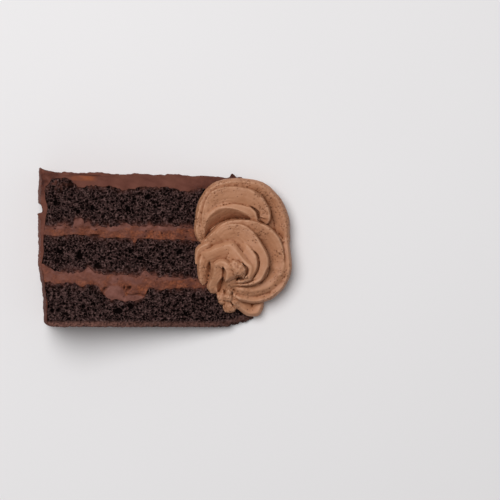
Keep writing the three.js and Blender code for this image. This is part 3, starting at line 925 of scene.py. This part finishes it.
def surface_net(field, low, step):
    """Points and quads of the skin between positive samples, inside, and negative ones."""
    inside = field > 0
    shape = tuple(n - 1 for n in field.shape)
    total = np.zeros(shape + (3,))
    count = np.zeros(shape)
    rings = []
    for axis in range(3):
        near = tuple(slice(0, -1) if k == axis else slice(None) for k in range(3))
        far = tuple(slice(1, None) if k == axis else slice(None) for k in range(3))
        crossed = np.argwhere(inside[near] != inside[far])
        index = tuple(crossed.T)
        a, b = field[near][index], field[far][index]
        point = crossed.astype(float)
        point[:, axis] += a / (a - b)
        first, second = [(1, 2), (2, 0), (0, 1)][axis]
        cells = []
        for back in ((1, 1), (0, 1), (0, 0), (1, 0)):
            cell = crossed.copy()
            cell[:, first] -= back[0]
            cell[:, second] -= back[1]
            cells.append(cell)
            np.add.at(total, tuple(cell.T), point)
            np.add.at(count, tuple(cell.T), 1)
        rings.append((cells, a > 0))
    active = count > 0
    numbers = np.full(shape, -1)
    numbers[active] = np.arange(active.sum())
    points = low + step * total[active] / count[active][:, None]
    quads = []
    for cells, outward in rings:
        quad = np.stack([numbers[tuple(cell.T)] for cell in cells], -1)
        quads.append(np.where(outward[:, None], quad, quad[:, ::-1]))
    return points, np.concatenate(quads)


def beside(columns, path):
    """For 2-D places by a path: its nearest point, how far left of it and how far past its ends."""
    tangent = np.gradient(path[:, :2], axis=0)
    tangent /= np.linalg.norm(tangent, axis=1)[:, None]
    nearest = ((columns[:, :, None, :] - path[:, :2]) ** 2).sum(-1).argmin(-1)
    gap = columns - path[nearest, :2]
    along = (gap * tangent[nearest]).sum(-1)
    left = gap[..., 1] * tangent[nearest, 0] - gap[..., 0] * tangent[nearest, 1]
    past = np.where(nearest == 0, -along, np.where(nearest == len(path) - 1, along, 0))
    return nearest, left, np.maximum(past, 0)


def window(x, y, path, margin):
    """The part of the grid within a margin of a path."""
    rows = np.flatnonzero((x > path[:, 0].min() - margin) & (x < path[:, 0].max() + margin))
    columns = np.flatnonzero((y > path[:, 1].min() - margin) & (y < path[:, 1].max() + margin))
    return slice(rows[0], rows[-1] + 1), slice(columns[0], columns[-1] + 1)


def end_taper(path, length):
    """1 along a path, falling to 0.2 over a length at each end."""
    steps = np.linalg.norm(np.diff(path, axis=0), axis=1)
    gone = np.concatenate([[0], np.cumsum(steps)])
    to_end = np.minimum(gone, gone[-1] - gone)
    return np.sqrt(np.clip(to_end / length + 0.04, 0, 1))


def with_domes_and_lumps(field, columns, cut_height, z):
    """The field with the lobes' low domes and the rough lumps added."""
    for middle_x, middle_y, radius, start, height in DOMES:
        across = np.hypot(columns[..., 0] - middle_x, columns[..., 1] - middle_y) / radius
        up = (z - start - SLOPE_SHARE * cut_height[..., None]) / height
        dome = (1 - np.sqrt(across[..., None] ** 2 + up**2)) * height
        field = melt(field, dome, DOME_MELT)
    for middle_x, middle_y, radius, top in LUMPS:
        across = np.hypot(columns[..., 0] - middle_x, columns[..., 1] - middle_y)
        above = z - (top - radius)
        up = 0.3 * np.minimum(above, 0) + np.maximum(above, 0)  # a lump stands on a long foot
        field = melt(field, radius - np.hypot(across[..., None], up), LUMP_MELT)
    return field


def add_ridges(field, axes, columns):
    """Add the ridges that the nozzle left: each is one section, swept along its way."""
    x, y, z = axes
    table = section_table()
    for size, lean, breadth, way in RIDGES:
        path = smooth_path(way)
        part = window(x, y, path, RIDGE_REACH)
        nearest, left, past = beside(columns[part], path)
        taper = end_taper(path, RIDGE_END)[nearest]
        scale = size * taper
        out = np.where(left > 0, left / lean, left / breadth) / scale
        crest = path[nearest, 2] - RIDGE_SINK * size * (1 - taper)
        up = (z - crest[..., None]) / scale[..., None]
        ridge = look_up(table, out[..., None], up) * scale[..., None]
        streaks = noise(pair(left + 40 * size, STREAK_STRETCH * nearest), STREAK_WIDTH, 143)
        ridge += STREAK_DEPTH * streaks[..., None] - past[..., None]
        field[part] = melt(field[part], ridge, RIDGE_MELT)


def cut_creases(field, axes, columns, cut_height):
    """Open the creases: each widens upwards from its bottom."""
    x, y, z = axes
    for bottom, depth, flare, left_share, way in CREASES:
        path = smooth_path(way)
        part = window(x, y, path, CREASE_REACH)
        nearest, left, past = beside(columns[part], path)
        width = path[nearest, 2] * end_taper(path, CREASE_END)[nearest]
        edge = width * np.where(left > 0, left_share, 1 - left_share)
        over_cut = SLOPE_SHARE * cut_height[part] + CREASE_OVER_CUT
        open_from = np.maximum(bottom, over_cut)[..., None]
        spread = np.clip((z - open_from) / depth, 0, 1) ** flare
        outside = np.hypot(left, past)[..., None] - edge[..., None] * spread
        filled = np.maximum(outside, open_from - z)
        field[part] = -melt(-field[part], -filled, CREASE_MELT)


def swirl_field(axes):
    """The swirl as a field of distances in millimetres, positive inside."""
    x, y, z = axes
    columns = np.stack(np.meshgrid(x, y, indexing="ij"), -1)
    cut_height = np.maximum(TIP_THICKNESS - SLOPE * columns[..., 0], 0)
    waver = [noise(columns, WAVER_SIZE, 141), noise(columns, WAVER_SIZE, 142)]
    columns = columns + WAVER * np.stack(waver, -1)
    field = np.full((len(x), len(y), len(z)), EMPTY)
    field = with_domes_and_lumps(field, columns, cut_height, z)
    add_ridges(field, axes, columns)
    cut_creases(field, axes, columns, cut_height)
    return field


def swirl_skin(step):
    """The swirl's points and quads, with its field cut off above the cake and the table."""
    x, y, z = (np.arange(low, high, step) for low, high in SWIRL_SPACE)
    field = swirl_field((x, y, z))
    s = -np.meshgrid(x, y, indexing="ij")[0]
    resting = TIP_THICKNESS + SLOPE * s + CUT_RELIEF + SWIRL_GAP
    floor = np.where(s < -TIP_OVERRUN - 0.4, 0, np.maximum(resting, 0))
    field = np.minimum(field, z - floor[..., None])
    return surface_net(field, np.array([x[0], y[0], z[0]]), step)


def swirl_mesh(settings, material):
    """The piped swirl, roughened and pitted."""
    points, quads = swirl_skin(settings.swirl_step / MM)
    normals = vertex_normals(points, quads)
    broken = nearness(points, [lump[:3] for lump in LUMPS], 0.9, 1.5)
    coarse = nearness(points, COARSE_SPOTS, 0.4, 1.3, waver=0.5 * noise(points, 2, 153))
    relief = grain(points, SMOOTH_GRAIN) + BROKEN_GRAIN * broken * rough(points, 0.7, 155)
    lumps = np.maximum(broken * BROKEN_LUMPS, coarse * COARSE_LUMPS)
    relief += lumps * rough(points, 1.5, 154)
    hollow = air_pits(points, coarse)
    lifted = points[:, 2] > TABLE_CONTACT
    points = points + normals * ((relief - AIR_PIT_DEPTH * hollow) * lifted)[:, None]
    points[:, 2] = np.maximum(points[:, 2], 0)
    bulge = bulges(points, quads, normals)
    attributes = {
        # hollow also paints shade into the air pits
        "hollow": hollow,
        "coarse": coarse,
        # crest paints a highlight on the swirl's sharp ridges
        "crest": smoothstep(bulge, *CREST_HIGHLIGHT_BULGE),
        # the valley mark paints shade between the ridges
        "valley": smoothstep(-bulge, *VALLEY_SHADE_BULGE),
    }
    return make_object("buttercream_visual", points, quads.tolist(), attributes, material)


def nearness(points, rounds, full, none, waver=0.0):
    """How deep points lie in round patches: 1 up to one share of a radius and 0 past another."""
    near = np.zeros(len(points))
    for middle_x, middle_y, radius in rounds:
        away = np.hypot(points[:, 0] - middle_x, points[:, 1] - middle_y) / radius + waver
        near = np.maximum(near, 1 - smoothstep(away, full, none))
    return near


def bulges(points, quads, normals):
    """How far a mesh bulges out at its points from the points round them, in millimetres."""
    starts = quads.ravel()
    ends = np.roll(quads, -1, axis=1).ravel()
    count = np.bincount(starts, minlength=len(points))
    around = [np.bincount(starts, points[ends, k], len(points)) / count for k in range(3)]
    bulge = ((points - np.stack(around, -1)) * normals).sum(1)
    for _ in range(BULGE_PASSES):
        bulge = 0.5 * bulge + 0.5 * np.bincount(starts, bulge[ends], len(points)) / count
    return bulge


def air_pits(points, coarse):
    """How deep each point lies in one of many small air pits, from 0 to 1."""
    rng = np.random.default_rng(161)
    tree = kdtree.KDTree(len(points))
    for number, point in enumerate(points):
        tree.insert(point, number)
    tree.balance()
    hollow = np.zeros(len(points))
    for number in rng.choice(len(points), AIR_PIT_TRIES, replace=False):
        if rng.random() > COARSE_PIT_CHANCE * coarse[number] + AIR_PIT_CHANCE:
            continue
        radius = rng.uniform(AIR_PIT_SMALLEST, AIR_PIT_LARGEST)
        for _, near, away in tree.find_range(points[number], radius):
            hollow[near] = max(hollow[near], 1 - (away / radius) ** 2)
    return hollow


def vertex_normals(points, quads):
    """Unit normals of a mesh of quads at its points."""
    across = points[quads[:, 2]] - points[quads[:, 0]]
    over = points[quads[:, 3]] - points[quads[:, 1]]
    face = np.cross(across, over)
    normals = np.zeros_like(points)
    for corner in range(4):
        np.add.at(normals, quads[:, corner], face)
    return normals / np.linalg.norm(normals, axis=1)[:, None]


# ---- materials ----


def add_node(tree, kind, inputs=None, **settings):
    """A shader node with its settings and the values or links of its inputs."""
    node = tree.nodes.new(kind)
    for key, value in settings.items():
        setattr(node, key, value)
    for key, value in (inputs or {}).items():
        if isinstance(value, bpy.types.NodeSocket):
            tree.links.new(value, node.inputs[key])
        else:
            node.inputs[key].default_value = value
    return node


def mix(tree, factor, a, b):
    """The colour between a and b; each may be a link or a plain colour."""
    node = tree.nodes.new("ShaderNodeMix")
    node.data_type = "RGBA"
    sockets = (node.inputs[0], node.inputs[6], node.inputs[7])  # factor, and A and B as colours
    for socket, value in zip(sockets, (factor, a, b)):
        if isinstance(value, bpy.types.NodeSocket):
            tree.links.new(value, socket)
        else:
            socket.default_value = value
    return node.outputs[2]


def ramp(tree, factor, low, high):
    """factor stretched so that low becomes 0 and high becomes 1."""
    inputs = {"Value": factor, "From Min": low, "From Max": high}
    node = add_node(tree, "ShaderNodeMapRange", inputs, clamp=True)
    return node.outputs["Result"]


def new_material(name, roughness, shine):
    """A node material: its tree, its shader with an even roughness and shine, and coordinates."""
    material = bpy.data.materials.new(name)
    material.use_nodes = True
    tree = material.node_tree
    shader = tree.nodes["Principled BSDF"]
    shader.inputs["Roughness"].default_value = roughness
    shader.inputs["Specular IOR Level"].default_value = shine
    place = add_node(tree, "ShaderNodeTexCoord").outputs["Object"]
    return material, tree, shader, place


def noise_texture(tree, place, size, detail=3.0):
    """A noise of lumps of about size millimetres, 0 to 1."""
    inputs = {"Vector": place, "Scale": 1 / (size * MM), "Detail": detail, "Roughness": 0.6}
    return add_node(tree, "ShaderNodeTexNoise", inputs).outputs["Fac"]


def patches(tree, place, size, low=0.35, high=0.65):
    """Soft patches of about size millimetres, from 0 to 1."""
    return ramp(tree, noise_texture(tree, place, size), low, high)


def flecks(tree, place, low, high, size=0.9):
    """Fine flecks of about size millimetres: 0 where their noise is under low, 1 over high."""
    return ramp(tree, noise_texture(tree, place, size, detail=4.0), low, high)


def add_bump(tree, shader, place, size, strength, depth):
    """Fine relief that is too small for the mesh, with a size and a depth in millimetres."""
    height = noise_texture(tree, place, size)
    inputs = {"Height": height, "Strength": strength, "Distance": depth * MM}
    node = add_node(tree, "ShaderNodeBump", inputs)
    tree.links.new(node.outputs["Normal"], shader.inputs["Normal"])


def attribute(tree, name):
    """A value stored on the mesh's points."""
    return add_node(tree, "ShaderNodeAttribute", attribute_name=name).outputs["Fac"]


def foam(tree, place, size, open_share):
    """Bubbles of about size millimetres: 1 inside the open ones and 0 on their thin walls."""
    inputs = {"Vector": place, "Scale": 1 / (size * MM), "Randomness": 1.0}
    edge = add_node(tree, "ShaderNodeTexVoronoi", inputs, feature="DISTANCE_TO_EDGE")
    cell = add_node(tree, "ShaderNodeTexVoronoi", inputs, feature="F1")
    pick = add_node(tree, "ShaderNodeSeparateColor", {"Color": cell.outputs["Color"]})
    chosen = ramp(tree, pick.outputs["Red"], low=1.02 - open_share, high=1.06 - open_share)
    inside = ramp(tree, edge.outputs["Distance"], low=0.03, high=0.2)
    product = add_node(tree, "ShaderNodeMath", {0: chosen, 1: inside}, operation="MULTIPLY")
    return product.outputs[0]


def crumb_material(colours):
    """Dark crumb with light thin walls round pores painted black as shade."""
    material, tree, shader, place = new_material("crumb", roughness=0.85, shine=0.06)
    pore_shade_colour = tuple(colours.crumb_pore_shade)
    shift = add_node(tree, "ShaderNodeTexNoise", {"Vector": place, "Scale": 900.0, "Detail": 2.0})
    bend = {0: shift.outputs["Color"], 1: (0.9 * MM, 0.9 * MM, 0.9 * MM), 2: place}
    bent = add_node(tree, "ShaderNodeVectorMath", bend, operation="MULTIPLY_ADD").outputs[0]
    fleck = flecks(tree, place, low=0.4, high=0.7)
    wall = mix(tree, fleck, tuple(colours.crumb), tuple(colours.crumb_light))
    # painted shade: open bubbles, fine bubbles and pores take the near black of the hollows
    body = mix(tree, foam(tree, bent, size=1.4, open_share=0.7), wall, pore_shade_colour)
    fine = ramp(tree, foam(tree, bent, size=0.8, open_share=0.7), low=0.0, high=1.3)
    body = mix(tree, fine, body, pore_shade_colour)
    pores = ramp(tree, attribute(tree, "hollow"), low=0.1, high=0.7)
    body = mix(tree, pores, body, pore_shade_colour)
    skin = mix(tree, fleck, tuple(colours.crust), tuple(colours.crumb))
    body = mix(tree, attribute(tree, "crust"), body, skin)
    smeared = mix(tree, attribute(tree, "smear"), body, tuple(colours.filling))
    tree.links.new(smeared, shader.inputs["Base Color"])
    add_bump(tree, shader, place, size=0.5, strength=0.5, depth=0.3)
    return material


def filling_material(colours):
    """Cream that is smooth and pale in places, and warm and grainy in others."""
    material, tree, shader, place = new_material("filling", roughness=0.6, shine=0.2)
    patch = patches(tree, place, size=3.5)
    fleck = flecks(tree, place, low=0.32, high=0.66)
    warm = mix(tree, patch, tuple(colours.filling), tuple(colours.filling_warm))
    grainy = mix(tree, fleck, tuple(colours.filling_dark), warm)
    smooth = mix(tree, patch, tuple(colours.filling_pale), tuple(colours.filling))
    pale = ramp(tree, attribute(tree, "pale"), low=0.25, high=0.85)
    body = mix(tree, pale, grainy, smooth)
    # painted shade in holes, cracks and the slot, at the dollop's rim and towards the swirl
    body = mix(tree, attribute(tree, "hollow"), body, tuple(colours.filling_deep_shade))
    tree.links.new(body, shader.inputs["Base Color"])
    add_bump(tree, shader, place, size=0.8, strength=0.5, depth=0.4)
    return material


def frosting_material(colours):
    """Smooth frosting, with a warm strip, dark crumbs dragged into it and painted shade."""
    material, tree, shader, place = new_material("frosting", roughness=0.7, shine=0.08)
    patch = patches(tree, place, size=7)
    fleck = flecks(tree, place, low=0.35, high=0.7, size=1.2)
    body = mix(tree, patch, tuple(colours.frosting), tuple(colours.frosting_light))
    body = mix(tree, attribute(tree, "warm"), body, tuple(colours.filling_warm))
    dark = mix(tree, fleck, tuple(colours.crumb), tuple(colours.filling_dark))
    # dark: crumbs, thin frosting and a dark line, and painted shade near the swirl
    body = mix(tree, attribute(tree, "dark"), body, dark)
    tree.links.new(body, shader.inputs["Base Color"])
    add_bump(tree, shader, place, size=0.8, strength=0.3, depth=0.3)
    return material


def buttercream_material(colours):
    """Whipped buttercream with a painted highlight on its crests and painted shade in its valleys
    and air pits, grainy in places.
    """
    material, tree, shader, place = new_material("buttercream", roughness=0.5, shine=0.25)
    patch = patches(tree, place, size=5)
    fleck = flecks(tree, place, low=0.42, high=0.62)
    body = mix(tree, patch, tuple(colours.buttercream), tuple(colours.buttercream_light))
    # painted highlight on the crests
    body = mix(tree, attribute(tree, "crest"), body, tuple(colours.buttercream_highlight))
    # painted shade between the ridges
    body = mix(tree, attribute(tree, "valley"), body, tuple(colours.buttercream_shade))
    grainy = mix(tree, fleck, tuple(colours.buttercream_grain), body)
    coarse = ramp(tree, attribute(tree, "coarse"), low=0.0, high=2.2)
    body = mix(tree, coarse, body, grainy)
    # painted shade in the air pits
    body = mix(tree, attribute(tree, "hollow"), body, tuple(colours.buttercream_pit_shade))
    tree.links.new(body, shader.inputs["Base Color"])
    add_bump(tree, shader, place, size=0.7, strength=0.35, depth=0.3)
    return material


# ---- stage ----

UNDER_CAMERA = 36.6  # the height up the cake that the camera stands over
SENSOR_WIDTH = 36  # of the camera


def add_floor(settings):
    """A pale floor with faint clouds."""
    half = settings.floor_size / 2
    mesh = bpy.data.meshes.new("floor")
    corners = [(-half, -half, 0), (half, -half, 0), (half, half, 0), (-half, half, 0)]
    mesh.from_pydata(corners, [], [(0, 1, 2, 3)])
    material, tree, shader, place = new_material("floor", roughness=0.7, shine=0.5)
    cloud = patches(tree, place, size=400, low=0.3, high=0.7)
    pale = tuple(settings.floor_colour)
    darker = tuple(0.98 * c for c in pale[:3]) + (1.0,)
    tree.links.new(mix(tree, cloud, pale, darker), shader.inputs["Base Color"])
    mesh.materials.append(material)
    floor = bpy.data.objects.new("floor", mesh)
    bpy.context.scene.collection.objects.link(floor)


def add_light(settings):
    """A soft light overhead and an even light from all round."""
    scene = bpy.context.scene
    lamp = bpy.data.lights.new("softbox", "AREA")
    lamp.shape = "DISK"
    lamp.size = settings.light_size
    lamp.energy = settings.light_power
    softbox = bpy.data.objects.new("softbox", lamp)
    softbox.location = Vector(settings.light_place)
    aim = -softbox.location  # at the origin
    softbox.rotation_euler = aim.to_track_quat("-Z", "Y").to_euler()
    scene.collection.objects.link(softbox)
    world = bpy.data.worlds.new("studio")
    world.use_nodes = True
    background = world.node_tree.nodes["Background"]
    background.inputs["Color"].default_value = (1.0, 1.0, 1.0, 1.0)
    background.inputs["Strength"].default_value = settings.ambient
    scene.world = world


def add_camera(settings):
    """The camera, which looks straight down, and plain colours."""
    scene = bpy.context.scene
    lens = bpy.data.cameras.new("camera")
    lens.sensor_width = SENSOR_WIDTH
    lens.lens = SENSOR_WIDTH * settings.camera_height / settings.view_width
    camera = bpy.data.objects.new("camera", lens)
    camera.location = (AXIS_X * MM, (BASE_Y + UNDER_CAMERA) * MM, settings.camera_height)
    camera.rotation_euler = (0, 0, settings.camera_roll)
    scene.collection.objects.link(camera)
    scene.camera = camera
    scene.view_settings.view_transform = "Standard"


# ---- the add-on ----


def colour(name, description, red, green, blue):
    """A colour property; its default is in sRGB, 0 to 255."""
    linear = [(c / 255) ** 2.2 for c in (red, green, blue)] + [1.0]
    return bpy.props.FloatVectorProperty(
        name=name, description=description, subtype="COLOR", size=4, min=0, max=1, default=linear
    )


class CAKE_PG_colours(bpy.types.PropertyGroup):
    """Colours of the cake and its creams."""

    crumb: colour("Crumb", "The crumb's body", 58, 39, 38)
    crumb_light: colour("Light crumb", "The lightest walls", 114, 90, 86)
    # painted shade at the bottom of the pores
    crumb_pore_shade: colour("Hollows", "The bottom of the pores", 16, 5, 5)
    crust: colour("Crust", "The skin at the cake's base", 121, 86, 77)
    filling: colour("Filling", "Smooth parts of the filling", 105, 66, 57)
    # pale smears of cream, and a painted highlight on the raised blob
    filling_pale: colour("Pale filling", "Its palest smears and bumps", 127, 83, 73)
    filling_warm: colour("Warm filling", "Its warm grainy parts", 150, 86, 58)
    filling_dark: colour("Dark filling", "Its darker grains", 93, 53, 41)
    # painted shade in the filling's holes, cracks and shaded places
    filling_deep_shade: colour("Deep filling", "Its holes and cracks", 40, 14, 10)
    frosting: colour("Frosting", "The coat over top and rim", 103, 64, 55)
    frosting_light: colour("Light frosting", "Its lighter patches", 113, 72, 61)
    buttercream: colour("Buttercream", "The swirl", 172, 120, 89)
    buttercream_light: colour("Light buttercream", "Its lighter patches", 180, 129, 99)
    # painted highlight on the swirl's crests
    buttercream_highlight: colour("Crests", "The swirl's sharp ridges", 194, 146, 116)
    # painted shade between the swirl's ridges
    buttercream_shade: colour("Valleys", "Between the swirl's ridges", 122, 70, 40)
    buttercream_grain: colour("Grain", "Darker grains of its rough parts", 142, 95, 68)
    # painted shade in the swirl's air pits
    buttercream_pit_shade: colour("Air pits", "Small pits in the swirl", 104, 64, 43)


class CAKE_PG_slice(bpy.types.PropertyGroup):
    """Detail of the slice and its swirl."""

    along: bpy.props.IntProperty(
        name="Divisions along", description="A multiple of 8", default=448, min=8, step=8
    )
    up: bpy.props.IntProperty(
        name="Divisions up a layer", description="A multiple of 8", default=88, min=8, step=8
    )
    pore_depth: bpy.props.FloatProperty(
        name="Pore depth", description="1 is as baked", default=1.0, min=0, subtype="FACTOR"
    )
    swirl_step: bpy.props.FloatProperty(
        name="Swirl detail",
        description="Size of the swirl's faces",
        default=0.00034,
        min=0.0002,
        precision=5,
        unit="LENGTH",
    )


class CAKE_PG_filling(bpy.types.PropertyGroup):
    """Detail of the filling."""

    along: bpy.props.IntProperty(
        name="Divisions along", description="A multiple of 8", default=400, min=8, step=8
    )
    up: bpy.props.IntProperty(
        name="Divisions up a layer", description="A multiple of 8", default=32, min=8, step=8
    )


class CAKE_PG_stage(bpy.types.PropertyGroup):
    """Floor, light and camera."""

    floor_size: bpy.props.FloatProperty(
        name="Floor size", description="Length of its sides", default=8.0, unit="LENGTH"
    )
    floor_colour: colour("Floor", "The floor's colour", 234, 232, 233)
    light_size: bpy.props.FloatProperty(
        name="Light size", description="Width of the softbox", default=1.2, unit="LENGTH"
    )
    light_power: bpy.props.FloatProperty(
        name="Light power", description="Power of the softbox", default=22.7, unit="POWER"
    )
    light_place: bpy.props.FloatVectorProperty(
        name="Light place",
        description="Middle of the softbox",
        default=(-0.42, 0.52, 1.5),
        subtype="TRANSLATION",
    )
    ambient: bpy.props.FloatProperty(
        name="Ambient light", description="Light from all round", default=0.27, min=0
    )
    camera_height: bpy.props.FloatProperty(
        name="Camera height", description="Above the floor", default=1.0, unit="LENGTH"
    )
    camera_roll: bpy.props.FloatProperty(
        name="Camera roll", description="Turn about its own axis", default=0.0122, unit="ROTATION"
    )
    view_width: bpy.props.FloatProperty(
        name="View width", description="Width of floor in view", default=0.238, unit="LENGTH"
    )


class CAKE_OT_crumb(bpy.types.Operator):
    """Build the three layers of chocolate crumb."""

    bl_idname = "cake.crumb"
    bl_label = "Crumb layers"

    def execute(self, context):
        scene = context.scene
        material = crumb_material(scene.cake_colours)
        layers = [  # node, lower and upper surface, and their usual heights
            ("cake_bottom", cake_base, LOWER_FILLING_UNDER.at, (0, 19)),
            ("cake_middle", LOWER_FILLING_TOP.at, UPPER_FILLING_UNDER.at, (24.5, 41.5)),
            ("cake_top", upper_filling_top, FROSTING_UNDER.at, (47.2, FROSTING_NOMINAL)),
        ]
        for node, under, over, nominals in layers:
            name = node + "_visual"
            obj = crumb_layer(name, under, over, nominals, scene.cake_slice, material)
            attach(obj, "root")
            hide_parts(node)
        return {"FINISHED"}


class CAKE_OT_filling(bpy.types.Operator):
    """Build the two layers of cream filling."""

    bl_idname = "cake.filling"
    bl_label = "Filling"

    def execute(self, context):
        settings = context.scene.cake_filling
        material = filling_material(context.scene.cake_colours)
        lower = (LOWER_FILLING_UNDER.at, LOWER_FILLING_TOP.at, (19, 24.5), lower_filling_marks)
        upper = (UPPER_FILLING_UNDER.at, upper_filling_top, (41.5, 47.2), upper_filling_marks)
        for node, layer in [("filling_lower", lower), ("filling_upper", upper)]:
            obj = filling_layer(node + "_visual", *layer, settings, material)
            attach(obj, "root")
            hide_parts(node)
        return {"FINISHED"}


class CAKE_OT_frosting(bpy.types.Operator):
    """Build the frosting over the top and the rim."""

    bl_idname = "cake.frosting"
    bl_label = "Frosting"

    def execute(self, context):
        obj = frosting_coat(frosting_material(context.scene.cake_colours))
        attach(obj, "root")
        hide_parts("frosting")
        return {"FINISHED"}


class CAKE_OT_swirl(bpy.types.Operator):
    """Build the piped buttercream swirl."""

    bl_idname = "cake.swirl"
    bl_label = "Buttercream swirl"

    def execute(self, context):
        scene = context.scene
        obj = swirl_mesh(scene.cake_slice, buttercream_material(scene.cake_colours))
        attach(obj, "root")
        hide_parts("buttercream_swirl")
        return {"FINISHED"}


class CAKE_OT_stage(bpy.types.Operator):
    """Set up the floor, the light and the camera."""

    bl_idname = "cake.stage"
    bl_label = "Stage"

    def execute(self, context):
        settings = context.scene.cake_stage
        add_floor(settings)
        add_light(settings)
        add_camera(settings)
        return {"FINISHED"}


class CAKE_PT_panel(bpy.types.Panel):
    """Lists the pieces of the cake."""

    bl_idname = "CAKE_PT_panel"
    bl_label = "Slice of chocolate cake"
    bl_space_type = "VIEW_3D"
    bl_region_type = "UI"
    bl_category = "Cake"

    def draw(self, context):
        for operator in OPERATORS:
            self.layout.operator(operator.bl_idname)
        for key, group in GROUPS.items():
            column = self.layout.column()
            column.label(text=group.__doc__)
            for name in group.__annotations__:
                column.prop(getattr(context.scene, key), name)


OPERATORS = [CAKE_OT_crumb, CAKE_OT_filling, CAKE_OT_frosting, CAKE_OT_swirl, CAKE_OT_stage]
GROUPS = {
    "cake_colours": CAKE_PG_colours,
    "cake_slice": CAKE_PG_slice,
    "cake_filling": CAKE_PG_filling,
    "cake_stage": CAKE_PG_stage,
}


def register():
    """Register the classes and hang the settings on the scene."""
    for cls in [*GROUPS.values(), *OPERATORS, CAKE_PT_panel]:
        bpy.utils.register_class(cls)
    for key, group in GROUPS.items():
        setattr(bpy.types.Scene, key, bpy.props.PointerProperty(type=group))


def unregister():
    """Take away what register added."""
    for key in GROUPS:
        delattr(bpy.types.Scene, key)
    for cls in [CAKE_PT_panel, *OPERATORS, *GROUPS.values()]:
        bpy.utils.unregister_class(cls)


def main():
    """Build every piece and the stage."""
    register()
    bpy.ops.cake.crumb()
    bpy.ops.cake.filling()
    bpy.ops.cake.frosting()
    bpy.ops.cake.swirl()
    bpy.ops.cake.stage()


if __name__ == "__main__":
    main()
